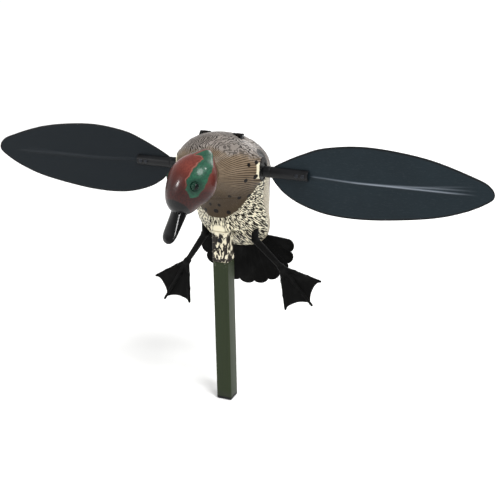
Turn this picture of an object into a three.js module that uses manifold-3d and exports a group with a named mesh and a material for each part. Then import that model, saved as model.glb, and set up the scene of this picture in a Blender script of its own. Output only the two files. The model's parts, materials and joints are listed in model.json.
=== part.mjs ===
// Spinning-wing duck decoy on a square pole section.
// Millimetres, +Z up. The origin is the centre of the pole's bottom end, the duck faces -Y,
// and the wings spin about an axle along X. "Left" is the duck's own left, which is +X.
import * as THREE from 'three';
import { mergeVertices } from 'three/addons/utils/BufferGeometryUtils.js';
import Module from 'manifold-3d';

const wasm = await Module();
wasm.setup();

// ---- driving dimensions -------------------------------------------------------------------

const AXLE_Z = 288; // height of the wing axle over the pole's bottom end
const GAP = 0.3; // room between pieces that touch

const POLE = { side: 19.05, wall: 1.5, corner: 1.6, bottom: 3, top: 177 };
const BUSH = { socket: 11.6, depth: 26 };
const STEM = { peg: 15.4, pegDepth: 40, shoulder: -73, top: -57, flange: [32, 25, 4], flangeY: 12.5 };

// The body's skin is a blend of three egg shapes. Places are measured from the wing axle.
const BODY = {
  centre: [0, 20, -30],
  wall: 2.4,
  lobes: [
    { at: [0, 26, -22], radii: [40, 34, 73], lean: 52 }, // back
    { at: [0, 6, 4], radii: [47.6, 56, 30], lean: -13, blend: 30 }, // shoulders and breast
    { at: [0, 33, -72], radii: [41, 24, 51], lean: 48, blend: 30 }, // belly and vent
  ],
};
const PARTING_LEAN = 19.6; // the shells part on a plane through the axle, leaning back downwards

// The head turns to the duck's right and looks down. Its lobes are [across, along, up] its own axes.
const HEAD = {
  at: [4.6, -79.8, 8.4],
  yaw: 30,
  pitch: 43,
  wall: 2.4,
  lobes: [
    { at: [0, 0, 0], radii: [27, 28.3, 22.7] }, // skull and cheeks
    { at: [0, 24, -5.6], radii: [16, 15, 14.6], blend: 16 }, // forehead down to the bill
    { at: [0, -21.4, 3.3], radii: [8, 13.5, 8], blend: 10 }, // nape crest
  ],
};
const NECK = { from: [4, -76, 5], to: [0, -34, 4], end: -34, radius: 16, bore: 10, blend: 6 };
const BILL = {
  root: 21,
  tip: 68.7,
  rootDrop: -5.5,
  drop: -22,
  halfWidth: 12.2,
  spoon: 12.4,
  halfDepth: 8,
  tipDepth: 2.6,
};
const EYE = { radius: 4.2, at: [23, 9, 8] };

const MOTOR = { radius: 17, wall: 1.5, length: 46, cap: 3 };
const AXLE = { radius: 3, halfLength: 80 };
const FLANK = { radius: 11.5, inner: 44, outer: 51, bore: 4 };
const COLLAR = { radius: 4.6, from: 52.6, to: 58.6 };
const TUBE = { radius: 6.3, from: 51.8, slit: 86, to: 104, bore: 3.2, boreTo: 84.6, cup: 4.9, cupTo: 59 };
const BLADE = { thickness: 1.2, root: 60, tip: 300 };
const MAGNET = { radius: 3, from: 80.6, to: 84.2 };
const RIVET = { radius: 1.3, head: 2.4, at: [91.5, 98.5] };

const LEG = {
  peg: 4,
  pegTop: -66,
  socket: 4.2,
  boss: 7,
  root: [31.8, 19.7, -88.7],
  ankle: [59.3, 28.7, -125],
  outer: [103, 43.5, -147.4],
  middle: [93.6, 34, -174.2],
  inner: [62.6, 29.9, -178.7],
  turn: { left: 11.6, right: -17.2 }, // each leg's turn in its socket, toes back is positive
  splay: { left: -1.7, right: 4.4 }, // and how far it is bent inwards
};
const TAIL = { y: 67, z: -114, halfWidth: 62, drop: 51, thickness: 3, feathers: 11, spread: 106, slotTop: -88, tongue: 22 };
const TAIL_SCREW = { x: 11, z: -93, headY: 79 };

const HATCH = { tilt: -46, hinge: [0, 5, 36.4], halfWidth: 33, from: 3.7, to: 80, corner: 9, pullHeight: 15.5, swing: 1.9 };
const HINGE = { x: 20, knuckle: 2.6, pin: 1.0, bore: 1.12, eye: 6.2, ear: 2.6 };

const CELL = { radius: 7.2, length: 50 };
const BOX = { at: [0, 33.6, -33.4], wall: 1.6, pitch: 14.5 };
const LEAD = { radius: 0.9 };
const SWITCH = { toward: [0, 0.87, -0.5], size: [13, 19, 12], well: [9.2, 14.6, 7], rocker: [8.6, 12.6, 5], proud: 1.5 };

// ---- materials ----------------------------------------------------------------------------

function finish(color, roughness, metalness = 0) {
  return new THREE.MeshStandardMaterial({ color, roughness, metalness });
}
const FINISH = {
  pole: () => finish(0x3b4230, 0.45, 0.4),
  blackPlastic: () => finish(0x17181a, 0.45),
  rubber: () => finish(0x1b1c1e, 0.6),
  cream: () => finish(0xcfc5a0, 0.5),
  brown: () => finish(0x8f7f6d, 0.5),
  red: () => finish(0x8a4038, 0.4),
  gloss: () => finish(0x0e0f10, 0.15),
  wing: () => finish(0x262e32, 0.6),
  steel: () => finish(0xa8abad, 0.35, 1),
  brass: () => finish(0xb09a5a, 0.35, 1),
  copper: () => finish(0xa8623a, 0.4, 1),
  cell: () => finish(0x3f5f6e, 0.35),
  lead: (color) => finish(color, 0.5),
};

// ---- shape helpers ------------------------------------------------------------------------

const rad = THREE.MathUtils.degToRad;
const vec = (p) => new THREE.Vector3(...p);

function solid(geometry) {
  const bare = geometry.clone();
  bare.deleteAttribute('normal');
  bare.deleteAttribute('uv');
  const merged = mergeVertices(bare, 1e-4);
  const vertProperties = Float32Array.from(merged.attributes.position.array);
  const triVerts = Uint32Array.from(merged.index.array);
  return new wasm.Manifold(new wasm.Mesh({ numProp: 3, vertProperties, triVerts }));
}

function geometryOf(body) {
  const mesh = body.getMesh();
  const geometry = new THREE.BufferGeometry();
  geometry.setAttribute('position', new THREE.BufferAttribute(mesh.vertProperties, 3));
  geometry.setIndex(new THREE.BufferAttribute(mesh.triVerts, 1));
  geometry.computeVertexNormals();
  return geometry;
}

const join = (...bodies) => bodies.reduce((sum, body) => sum.add(body));
const cut = (body, ...tools) => tools.reduce((rest, tool) => rest.subtract(tool), body);

function box(size, centre = [0, 0, 0]) {
  return new THREE.BoxGeometry(...size).translate(...centre);
}

// A cylinder, or a cone frustum, whose axis runs from one point to another.
function rod(from, to, radius, segments = 16, endRadius = radius) {
  const start = vec(from);
  const end = vec(to);
  const along = end.clone().sub(start);
  const geometry = new THREE.CylinderGeometry(endRadius, radius, along.length(), segments);
  const turn = new THREE.Quaternion().setFromUnitVectors(new THREE.Vector3(0, 1, 0), along.normalize());
  geometry.applyQuaternion(turn);
  const middle = start.add(end).multiplyScalar(0.5);
  return geometry.translate(middle.x, middle.y, middle.z);
}

function xRod(x0, x1, radius, segments = 16) {
  return rod([x0, 0, 0], [x1, 0, 0], radius, segments);
}

function roundedRectangle(width, height, corner, x = 0, y = 0) {
  const shape = new THREE.Shape();
  const w = width / 2 - corner;
  const h = height / 2 - corner;
  shape.absarc(x + w, y + h, corner, 0, Math.PI / 2);
  shape.absarc(x - w, y + h, corner, Math.PI / 2, Math.PI);
  shape.absarc(x - w, y - h, corner, Math.PI, 1.5 * Math.PI);
  shape.absarc(x + w, y - h, corner, 1.5 * Math.PI, 2 * Math.PI);
  shape.closePath();
  return shape;
}

function extrude(shape, depth, z = 0, curveSegments = 2) {
  const options = { depth, bevelEnabled: false, curveSegments };
  return new THREE.ExtrudeGeometry(shape, options).translate(0, 0, z);
}

function squareBar(side, z0, z1, corner = 0.8) {
  return extrude(roundedRectangle(side, side, corner), z1 - z0, z0);
}

// A screw along +Y from the origin: the head lies under the origin and the shank goes to +Y.
function screw(length, shank, head, headDepth) {
  const profile = [
    [0, -headDepth],
    [head, -headDepth],
    [head, 0],
    [shank, 0],
    [shank, length - shank],
    [0, length],
  ];
  return new THREE.LatheGeometry(profile.map(([r, y]) => new THREE.Vector2(r, y)), 8);
}

// ---- skins --------------------------------------------------------------------------------

function eggDistance(point, lobe) {
  const lean = rad(lobe.lean ?? 0);
  const x = point.x - lobe.at[0];
  const dy = point.y - lobe.at[1];
  const dz = point.z - lobe.at[2];
  const y = dy * Math.cos(lean) + dz * Math.sin(lean);
  const z = dz * Math.cos(lean) - dy * Math.sin(lean);
  const [rx, ry, rz] = lobe.radii;
  const near = Math.hypot(x / rx, y / ry, z / rz);
  const slope = Math.hypot(x / rx ** 2, y / ry ** 2, z / rz ** 2);
  return (near * (near - 1)) / Math.max(slope, 1e-9);
}

function capsuleDistance(point, from, to, radius) {
  const line = new THREE.Line3(vec(from), vec(to));
  const nearest = line.closestPointToPoint(point, true, new THREE.Vector3());
  return nearest.distanceTo(point) - radius;
}

function blended(a, b, width) {
  const overlap = Math.max(width - Math.abs(a - b), 0) / width;
  return Math.min(a, b) - overlap * overlap * width * 0.25;
}

function lobesDistance(point, [first, ...others]) {
  const add = (sum, lobe) => blended(sum, eggDistance(point, lobe), lobe.blend);
  return others.reduce(add, eggDistance(point, first));
}

function bodyDistance(point) {
  return lobesDistance(point, BODY.lobes);
}

// The head's own axes: across to the duck's right, along towards the bill, and up.
function headFrame() {
  const yaw = rad(HEAD.yaw);
  const pitch = rad(HEAD.pitch);
  const across = new THREE.Vector3(-Math.cos(yaw), Math.sin(yaw), 0);
  const along = new THREE.Vector3(-Math.sin(yaw), -Math.cos(yaw), 0);
  along.multiplyScalar(Math.cos(pitch)).setZ(-Math.sin(pitch));
  const up = new THREE.Vector3().crossVectors(across, along);
  return new THREE.Matrix4().makeBasis(across, along, up).setPosition(...HEAD.at);
}
const HEAD_FRAME = headFrame();
const HEAD_INVERSE = HEAD_FRAME.clone().invert();

function headDistance(point) {
  const local = point.clone().applyMatrix4(HEAD_INVERSE);
  const skull = lobesDistance(local, HEAD.lobes);
  return blended(skull, capsuleDistance(point, NECK.from, NECK.to, NECK.radius), NECK.blend);
}

// How far the skin lies from a centre inside it, along one direction.
function reach(distance, centre, direction, offset) {
  let near = 0;
  let far = 160;
  for (let step = 0; step < 32; step += 1) {
    const middle = (near + far) / 2;
    const point = centre.clone().addScaledVector(direction, middle);
    if (distance(point) < offset) near = middle;
    else far = middle;
  }
  return (near + far) / 2;
}

// The closed surface at a given offset from a skin: a sphere whose points are pushed out to it.
function skin(distance, at, offset, segments, rings, poleLean) {
  const geometry = new THREE.SphereGeometry(1, segments, rings).rotateX(Math.PI / 2 + rad(poleLean));
  const centre = vec(at);
  const places = geometry.attributes.position;
  for (let index = 0; index < places.count; index += 1) {
    const direction = new THREE.Vector3().fromBufferAttribute(places, index).normalize();
    const point = centre.clone().addScaledVector(direction, reach(distance, centre, direction, offset));
    places.setXYZ(index, point.x, point.y, point.z);
  }
  return geometry;
}

// A frame standing on the body's skin: +Z is the outward normal there.
function skinFrame(toward) {
  const direction = vec(toward).normalize();
  const centre = vec(BODY.centre);
  const place = centre.clone().addScaledVector(direction, reach(bodyDistance, centre, direction, 0));
  const step = 0.5;
  const rise = (axis) => bodyDistance(place.clone().addScaledVector(axis, step));
  const normal = new THREE.Vector3(
    rise(new THREE.Vector3(1, 0, 0)),
    rise(new THREE.Vector3(0, 1, 0)),
    rise(new THREE.Vector3(0, 0, 1)),
  ).normalize();
  const across = new THREE.Vector3(1, 0, 0);
  const down = new THREE.Vector3().crossVectors(normal, across).normalize();
  across.crossVectors(down, normal);
  return new THREE.Matrix4().makeBasis(across, down, normal).setPosition(place);
}

// ---- the assembly -------------------------------------------------------------------------

const decoy = new THREE.Group();
decoy.position.set(0, 0, AXLE_Z);
const assembly = new THREE.Group();
assembly.add(decoy);

function place(group, name, shape, material) {
  const geometry = shape.isBufferGeometry ? shape : geometryOf(shape);
  const mesh = new THREE.Mesh(geometry, material);
  mesh.name = name;
  group.add(mesh);
  return mesh;
}

const SIDES = [
  { name: 'left', sign: 1 },
  { name: 'right', sign: -1 },
];

// ---- pole ---------------------------------------------------------------------------------

function addPole() {
  const shape = roundedRectangle(POLE.side, POLE.side, POLE.corner);
  shape.holes.push(roundedRectangle(POLE.side - 2 * POLE.wall, POLE.side - 2 * POLE.wall, 0.6));
  place(assembly, 'pole_tube', extrude(shape, POLE.top - POLE.bottom, POLE.bottom), FINISH.pole());

  const flange = squareBar(POLE.side, 0, POLE.bottom - GAP, POLE.corner);
  const plug = squareBar(POLE.side - 2 * POLE.wall - 2 * GAP, POLE.bottom - 1, BUSH.depth, 0.5);
  const socket = squareBar(BUSH.socket, -1, BUSH.depth + 1, 0.6);
  const bush = cut(join(solid(flange), solid(plug)), solid(socket));
  place(assembly, 'pole_end_bush', bush, FINISH.blackPlastic());
}

const POLE_TOP = POLE.top - AXLE_Z;
const SCREW_Z = -84;

function stemBar(side, grow = 0) {
  return solid(squareBar(side + 2 * grow, POLE_TOP - STEM.pegDepth, STEM.top + grow, 0.5));
}

function stemBlock(grow = 0) {
  return solid(squareBar(POLE.side + 2 * grow, POLE_TOP + GAP, STEM.shoulder - GAP + grow, POLE.corner));
}

function addStem() {
  const [width, depth, height] = STEM.flange;
  const flange = box([width, depth, height], [0, STEM.flangeY, STEM.top - height / 2]);
  const stem = join(stemBar(STEM.peg), stemBlock(), solid(flange));
  const hole = solid(rod([0, -20, SCREW_Z], [0, 6, SCREW_Z], 1.7, 12));
  const recess = solid(rod([0, -20, SCREW_Z], [0, -POLE.side / 2 + 1.4, SCREW_Z], 3.6, 16));
  place(decoy, 'pole_stem', cut(stem, hole, recess), FINISH.cream());
  const bolt = screw(14, 1.4, 3.2, 1.2).translate(0, -POLE.side / 2 + 1.1, SCREW_Z);
  place(decoy, 'stem_screw', bolt, FINISH.steel());
}

// ---- body shells --------------------------------------------------------------------------

const OUTER = solid(skin(bodyDistance, BODY.centre, 0, 24, 14, 30));
const INNER = solid(skin(bodyDistance, BODY.centre, -BODY.wall, 18, 11, 30));

function leaned(geometry) {
  return geometry.rotateX(rad(PARTING_LEAN));
}

// Half of space on one side of the parting plane: +1 is behind it, -1 in front.
function halfSpace(side) {
  const depth = 200;
  return solid(leaned(box([300, depth, 400], [0, side * (depth / 2 + GAP / 2), 0])));
}

// Screw posts stand across the parting plane. [x, height] lies in that plane.
const POSTS = [
  { x: 31, height: 22 },
  { x: -31, height: 22 },
  { x: 23, height: -84 },
  { x: -23, height: -84 },
];
const POST = { radius: 4.8, head: 3.4, seat: 7, pilot: 1.25, clear: 1.75 };

function postRod(post, from, to, radius, segments = 8) {
  return solid(leaned(rod([post.x, from, post.height], [post.x, to, post.height], radius, segments)));
}

function screwPosts() {
  return join(...POSTS.map((post) => postRod(post, -120, 120, POST.radius))).intersect(OUTER);
}

function flankHole(sign, radius) {
  return solid(xRod(sign * 30, sign * 80, radius, 24));
}

function legSocketBoss(sign) {
  const [x, y] = LEG.root;
  const boss = solid(rod([sign * x, y, -110], [sign * x, y, LEG.pegTop + 3], LEG.boss, 10));
  return boss.intersect(OUTER);
}

function legSocket(sign) {
  const [x, y] = LEG.root;
  return solid(rod([sign * x, y, -110], [sign * x, y, LEG.pegTop + GAP], LEG.socket, 12));
}

function addShells() {
  const wall = cut(OUTER, INNER);
  const both = join(wall, screwPosts());
  const neck = solid(skin(headDistance, HEAD.at, GAP, 20, 13, 45));
  const stemBoss = solid(squareBar(POLE.side + 0.6, STEM.shoulder, STEM.shoulder + 22, POLE.corner));

  let breast = join(both, legSocketBoss(1), legSocketBoss(-1)).intersect(halfSpace(-1));
  breast = join(breast, cut(stemBoss, INNER));
  breast = cut(breast, neck, stemBar(STEM.peg, GAP), stemBlock(GAP), legSocket(1), legSocket(-1));
  let back = cut(both.intersect(halfSpace(1)), hatchPrism(0), tailSlot());
  back = cut(back, switchPocket(), ...SIDES.map(({ sign }) => hingeNotch(sign)));
  SIDES.forEach(({ sign }) => {
    breast = cut(breast, flankHole(sign, FLANK.radius + GAP));
    back = cut(back, flankHole(sign, FLANK.radius + GAP));
    back = cut(back, tailScrewHole(sign));
  });
  POSTS.forEach((post) => {
    breast = cut(breast, postRod(post, -14, 5, POST.pilot));
    back = cut(back, postRod(post, -5, 120, POST.clear), postRod(post, POST.seat, 120, POST.head));
  });
  place(decoy, 'breast_shell', breast, FINISH.cream());
  place(decoy, 'back_shell', back, FINISH.brown());

  POSTS.forEach((post, index) => {
    const bolt = screw(17, 1.15, 3.1, 2).rotateX(Math.PI);
    bolt.translate(post.x, POST.seat + GAP, post.height);
    place(decoy, `shell_screw_${index + 1}`, leaned(bolt), FINISH.steel());
  });
}

// ---- hatch --------------------------------------------------------------------------------

// Hatch shapes are drawn with +Y down the back and +Z outwards, from the hinge line.
function hatchPlaced(geometry) {
  return geometry.rotateX(rad(HATCH.tilt)).translate(...HATCH.hinge);
}

// The outline of the opening, or drawn in all round and by the swing room at the hinge end.
function hatchPrism(inset, swing = inset) {
  const length = HATCH.to - HATCH.from - inset - swing;
  const middle = (HATCH.to - inset + HATCH.from + swing) / 2;
  const outline = roundedRectangle(2 * (HATCH.halfWidth - inset), length, HATCH.corner, 0, middle);
  return solid(hatchPlaced(extrude(outline, 65, -40, 3)));
}

function hingeNotch(sign) {
  const width = HINGE.eye + 2 * HINGE.ear + 1.4;
  const size = [width, 7.6, 16];
  return solid(hatchPlaced(box(size, [sign * HINGE.x, 0, -2])));
}

function knuckle(x, width, radius, segments = 12) {
  return rod([x - width / 2, 0, 0], [x + width / 2, 0, 0], radius, segments);
}

function addHatch() {
  let hatch = cut(OUTER, INNER).intersect(halfSpace(1)).intersect(hatchPrism(GAP, HATCH.swing));
  const pull = box([18, 5, 3], [0, HATCH.to - 7, HATCH.pullHeight]);
  hatch = join(hatch, solid(hatchPlaced(pull)));
  SIDES.forEach(({ sign }) => {
    const x = sign * HINGE.x;
    const arm = box([HINGE.eye, 7.5, 2.2], [x, 3.75, -1.3]);
    const eye = knuckle(x, HINGE.eye, HINGE.knuckle);
    const bore = knuckle(x, HINGE.eye + 2, HINGE.bore);
    hatch = join(hatch, solid(hatchPlaced(arm)), solid(hatchPlaced(eye)));
    hatch = cut(hatch, solid(hatchPlaced(bore)));
  });
  place(decoy, 'back_hatch', hatch, FINISH.brown());
}

function addHinges() {
  SIDES.forEach(({ name, sign }) => {
    const x = sign * HINGE.x;
    const width = HINGE.eye + 2 * HINGE.ear + 0.6;
    let bracket = solid(box([width, 6.6, 1.8], [x, 0, -6.2]));
    [-1, 1].forEach((side) => {
      const earX = x + side * (width - HINGE.ear) / 2;
      const ear = join(
        solid(box([HINGE.ear, 2 * HINGE.knuckle, 6.4], [earX, 0, -3.2])),
        solid(knuckle(earX, HINGE.ear, HINGE.knuckle)),
      );
      bracket = join(bracket, ear);
    });
    bracket = cut(bracket, solid(knuckle(x, width + 2, HINGE.bore)));
    place(decoy, `hatch_hinge_${name}`, hatchPlaced(geometryOf(bracket)), FINISH.blackPlastic());
    const pin = hatchPlaced(knuckle(x, width, HINGE.pin));
    place(decoy, `hatch_pin_${name}`, pin, FINISH.steel());
  });
}

// ---- head ---------------------------------------------------------------------------------

// The bill: a sphere drawn out along the head's own forward axis into a flat spoon.
function billSkin(grow) {
  const geometry = new THREE.SphereGeometry(1, 14, 10);
  const places = geometry.attributes.position;
  const { lerp, smoothstep } = THREE.MathUtils;
  for (let index = 0; index < places.count; index += 1) {
    const point = new THREE.Vector3().fromBufferAttribute(places, index);
    const along = (1 + point.y) / 2;
    const ring = Math.hypot(point.x, point.z);
    const spread = ring < 1e-6 ? 0 : 1 / ring;
    const end = Math.sqrt(Math.max(0, 1 - Math.abs(point.y) ** 5));
    const width = lerp(BILL.halfWidth, BILL.spoon, smoothstep(along, 0.4, 0.85)) * end + grow;
    const depth = lerp(BILL.halfDepth, BILL.tipDepth, Math.min(1, along * 1.2)) * end + grow;
    const reachOut = lerp(BILL.root - grow, BILL.tip + grow, along);
    const sag = lerp(BILL.rootDrop, BILL.drop, along ** 0.8);
    places.setXYZ(index, point.x * spread * width, reachOut, sag + point.z * spread * depth);
  }
  return geometry.applyMatrix4(HEAD_FRAME);
}

function eyeBall(sign, grow) {
  const ball = new THREE.SphereGeometry(EYE.radius + grow, 10, 8);
  return ball.translate(-sign * EYE.at[0], EYE.at[1], EYE.at[2]).applyMatrix4(HEAD_FRAME);
}

function addHead() {
  const outer = solid(skin(headDistance, HEAD.at, 0, 20, 13, 45));
  const inner = solid(skin(headDistance, HEAD.at, -HEAD.wall, 12, 8, 45));
  const bore = solid(rod(NECK.from, [0, 0, 2], NECK.bore, 20));
  const behind = solid(box([120, 100, 120], [0, NECK.end + 50, 0]));
  let head = cut(outer, inner, bore, behind, solid(billSkin(GAP)));
  SIDES.forEach(({ name, sign }) => {
    head = cut(head, solid(eyeBall(sign, GAP)));
    place(decoy, `eye_${name}`, eyeBall(sign, 0), FINISH.gloss());
  });
  place(decoy, 'head_shell', head, FINISH.red());
  place(decoy, 'bill', billSkin(0), FINISH.gloss());
}

// ---- tail and legs ------------------------------------------------------------------------

function tailSlot() {
  const depth = TAIL.thickness + 2 * GAP;
  return solid(box([2 * TAIL.halfWidth, depth, 60], [0, TAIL.y, TAIL.slotTop - 30]));
}

// Round feather ends on half an ellipse, drawn from one side to the other.
function tailOutline() {
  const shape = new THREE.Shape();
  const perFeather = 4;
  const steps = TAIL.feathers * perFeather;
  for (let step = 0; step <= steps; step += 1) {
    const angle = rad(THREE.MathUtils.lerp(-TAIL.spread, TAIL.spread, step / steps));
    const within = (step % perFeather) / perFeather;
    const bulge = 1 - 0.07 * (1 - Math.sin(Math.PI * within) ** 0.6);
    const x = TAIL.halfWidth * bulge * Math.sin(angle);
    const z = -TAIL.drop * bulge * Math.cos(angle);
    if (step === 0) shape.moveTo(x, z);
    else shape.lineTo(x, z);
  }
  const rise = TAIL.slotTop - TAIL.z - GAP;
  shape.lineTo(TAIL.tongue, rise);
  shape.lineTo(-TAIL.tongue, rise);
  shape.closePath();
  return shape;
}

function tailScrewHole(sign, radius = 1.6) {
  const x = sign * TAIL_SCREW.x;
  return solid(rod([x, TAIL.y - 9, TAIL_SCREW.z], [x, TAIL.y + 40, TAIL_SCREW.z], radius, 12));
}

function addTail() {
  const plate = extrude(tailOutline(), TAIL.thickness, -TAIL.thickness / 2).rotateX(Math.PI / 2);
  let fan = solid(plate.translate(0, TAIL.y, TAIL.z));
  SIDES.forEach(({ name, sign }) => {
    fan = cut(fan, tailScrewHole(sign));
    const bolt = screw(12, 1.2, 2.6, 1.6).rotateX(Math.PI);
    bolt.translate(sign * TAIL_SCREW.x, TAIL_SCREW.headY, TAIL_SCREW.z);
    place(decoy, `tail_screw_${name}`, bolt, FINISH.steel());
  });
  place(decoy, 'tail_fan', fan, FINISH.rubber());
}

// A point of the leg, given for the left side, turned in its socket and put on its own side.
function legPoint(point, { name, sign }) {
  const root = vec(LEG.root);
  const turned = vec(point).sub(root).applyAxisAngle(new THREE.Vector3(0, 0, 1), rad(LEG.turn[name]));
  turned.applyAxisAngle(new THREE.Vector3(0, 1, 0), rad(LEG.splay[name]));
  turned.add(root);
  return [sign * turned.x, turned.y, turned.z];
}

// The web: a thin plate through the ankle and the three toe tips, hollowed between the toes.
function footWeb(ankle, outer, middle, inner) {
  const xAxis = vec(outer).sub(vec(inner)).normalize();
  const normal = new THREE.Vector3().crossVectors(vec(outer).sub(vec(ankle)), vec(inner).sub(vec(ankle)));
  normal.normalize();
  const yAxis = new THREE.Vector3().crossVectors(normal, xAxis);
  const frame = new THREE.Matrix4().makeBasis(xAxis, yAxis, normal).setPosition(...ankle);
  const back = frame.clone().invert();
  const flat = (point) => vec(point).applyMatrix4(back);
  const [o, m, i] = [outer, middle, inner].map(flat);
  const hollow = (a, b) => a.clone().add(b).multiplyScalar(0.41);
  const shape = new THREE.Shape();
  shape.moveTo(0, 0);
  shape.lineTo(o.x, o.y);
  shape.quadraticCurveTo(hollow(o, m).x, hollow(o, m).y, m.x, m.y);
  shape.quadraticCurveTo(hollow(m, i).x, hollow(m, i).y, i.x, i.y);
  shape.closePath();
  return solid(extrude(shape, 2, -1, 4).applyMatrix4(frame));
}

function addLeg(side) {
  const [root, ankle, outer, middle, inner] = [LEG.root, LEG.ankle, LEG.outer, LEG.middle, LEG.inner]
    .map((point) => legPoint(point, side));
  const top = [root[0], root[1], LEG.pegTop - GAP];
  const toes = [outer, middle, inner].map((tip) => solid(rod(ankle, tip, 2.8, 6, 1.4)));
  const ball = (at, radius) => solid(new THREE.SphereGeometry(radius, 8, 6).translate(...at));
  const leg = join(
    solid(rod(root, top, LEG.peg, 12)),
    solid(rod(root, ankle, 4.4, 8, 3.2)),
    ball(root, 4.6),
    ball(ankle, 4),
    footWeb(ankle, outer, middle, inner),
    ...toes,
  );
  place(decoy, `leg_${side.name}`, leg, FINISH.rubber());
}

// ---- motor, axle and wings ----------------------------------------------------------------

// A ring about the X axis between two places.
function xRing(x0, x1, inner, outer, segments = 24) {
  const profile = [[inner, x0], [outer, x0], [outer, x1], [inner, x1], [inner, x0]];
  const points = profile.map(([r, x]) => new THREE.Vector2(r, x));
  return new THREE.LatheGeometry(points, segments).rotateZ(-Math.PI / 2);
}

function addMotor() {
  const half = MOTOR.length / 2;
  const shell = xRing(-half, half, MOTOR.radius - MOTOR.wall, MOTOR.radius, 32);
  place(decoy, 'motor_can', shell, FINISH.steel());
  SIDES.forEach(({ name, sign }) => {
    const bore = solid(xRod(sign * (half - 9), sign * (half + 12), AXLE.radius + 0.12, 24));
    const disc = solid(xRod(sign * (half - MOTOR.cap), sign * half, MOTOR.radius - MOTOR.wall - 0.1, 32));
    const boss = solid(xRod(sign * (half - 1), sign * (half + 4), 6.5, 20));
    place(decoy, `motor_cap_${name}`, cut(join(disc, boss), bore), FINISH.blackPlastic());
  });
  const core = cut(solid(xRod(-15, 13, 12.5, 24)), solid(xRod(-20, 20, AXLE.radius + 0.1, 24)));
  place(decoy, 'armature', core, FINISH.copper());
  place(decoy, 'drive_axle', xRod(-AXLE.halfLength, AXLE.halfLength, AXLE.radius, 24), FINISH.steel());
}

function addCradle() {
  const width = 22;
  const seat = MOTOR.radius + GAP;
  const footZ = STEM.top + GAP;
  const block = box([width, 2 * (seat + 7), 12], [0, 0, -6 - GAP / 2]);
  const web = box([width, 12, -10 - footZ], [0, STEM.flangeY - 3, (footZ - 10) / 2]);
  const foot = box([40, 20, 3.5], [0, STEM.flangeY, footZ + 1.75]);
  const belly = xRod(-width / 2, width / 2, seat + 3, 32);
  const above = box([80, 120, 60], [0, 0, 30 - GAP / 2]);
  const can = xRod(-40, 40, seat, 32);
  const lower = join(solid(block), solid(web), solid(foot), solid(belly));
  const screwHole = (y) => solid(rod([0, y, -20], [0, y, 20], 1.5, 12));
  const lugs = [-(seat + 4.5), seat + 4.5];
  place(decoy, 'chassis', cut(lower, solid(above), solid(can), ...lugs.map(screwHole)), FINISH.blackPlastic());

  const ears = box([12, 2 * (seat + 7), 3], [0, 0, 1.5 + GAP / 2]);
  const arch = xRod(-6, 6, seat + 2, 32);
  const below = box([80, 120, 60], [0, 0, -30 + GAP / 2]);
  const strap = cut(join(solid(ears), solid(arch)), solid(below), solid(can), ...lugs.map(screwHole));
  place(decoy, 'motor_strap', strap, FINISH.steel());
  lugs.forEach((y, index) => {
    const bolt = screw(9, 1.3, 2.7, 1.8).rotateX(-Math.PI / 2).translate(0, y, 3 + GAP);
    place(decoy, `strap_screw_${index + 1}`, bolt, FINISH.steel());
  });
}

function bladeOutline() {
  const shape = new THREE.Shape();
  const points = (list) => list.map(([x, z]) => new THREE.Vector2(x, z));
  shape.moveTo(BLADE.root, 0);
  shape.splineThru(points([[66, 8], [96, 23], [124, 32.5], [170, 36.8], [230, 30], [282, 14], [296, 6], [BLADE.tip, -1]]));
  shape.splineThru(points([[296, -8.5], [272, -22], [235, -33.5], [175, -42], [130, -42], [98, -34.5], [76, -23], [62, -8]]));
  shape.closePath();
  return shape;
}

function addWing({ name, sign }) {
  const turn = (geometry) => (sign > 0 ? geometry : geometry.rotateY(Math.PI));
  const bush = cut(
    solid(xRod(FLANK.inner, FLANK.outer, FLANK.radius, 24)),
    solid(xRod(FLANK.inner - 1, FLANK.outer + 1, FLANK.bore, 20)),
  );
  place(decoy, `axle_bush_${name}`, turn(geometryOf(bush)), FINISH.blackPlastic());
  place(decoy, `axle_collar_${name}`, turn(xRing(COLLAR.from, COLLAR.to, AXLE.radius + 0.1, COLLAR.radius)), FINISH.brass());

  const slot = BLADE.thickness + 2 * 0.2;
  const tube = cut(
    solid(xRod(TUBE.from, TUBE.to, TUBE.radius, 20)),
    solid(xRod(TUBE.from - 1, TUBE.boreTo, TUBE.bore, 24)),
    solid(xRod(TUBE.from - 1, TUBE.cupTo, TUBE.cup, 20)),
    solid(box([40, slot, 30], [TUBE.slit + 20, 0, 0])),
    ...RIVET.at.map((x) => solid(rod([x, -20, 0], [x, 20, 0], RIVET.radius + 0.2, 8))),
  );
  place(decoy, `wing_tube_${name}`, turn(geometryOf(tube)), FINISH.blackPlastic());

  const notch = TUBE.radius + GAP;
  const blade = cut(
    solid(extrude(bladeOutline(), BLADE.thickness, -BLADE.thickness / 2, 2).rotateX(Math.PI / 2)),
    solid(box([TUBE.slit + GAP - 40, 10, 2 * notch], [(TUBE.slit + GAP + 40) / 2, 0, 0])),
    ...RIVET.at.map((x) => solid(rod([x, -20, 0], [x, 20, 0], RIVET.radius + 0.2, 8))),
  );
  place(decoy, `wing_blade_${name}`, turn(geometryOf(blade)), FINISH.wing());

  place(decoy, `wing_magnet_${name}`, turn(xRod(MAGNET.from, MAGNET.to, MAGNET.radius, 20)), FINISH.steel());
  RIVET.at.forEach((x, index) => {
    const shank = solid(rod([x, -TUBE.radius - 0.8, 0], [x, TUBE.radius + 0.8, 0], RIVET.radius, 8));
    const heads = [-1, 1].map((side) => {
      const y = side * (TUBE.radius + GAP);
      return solid(rod([x, y, 0], [x, y + side * 0.9, 0], RIVET.head, 8, RIVET.head * 0.6));
    });
    place(decoy, `wing_rivet_${name}_${index + 1}`, turn(geometryOf(join(shank, ...heads))), FINISH.steel());
  });
}

// ---- battery box, switch and leads --------------------------------------------------------

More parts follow.
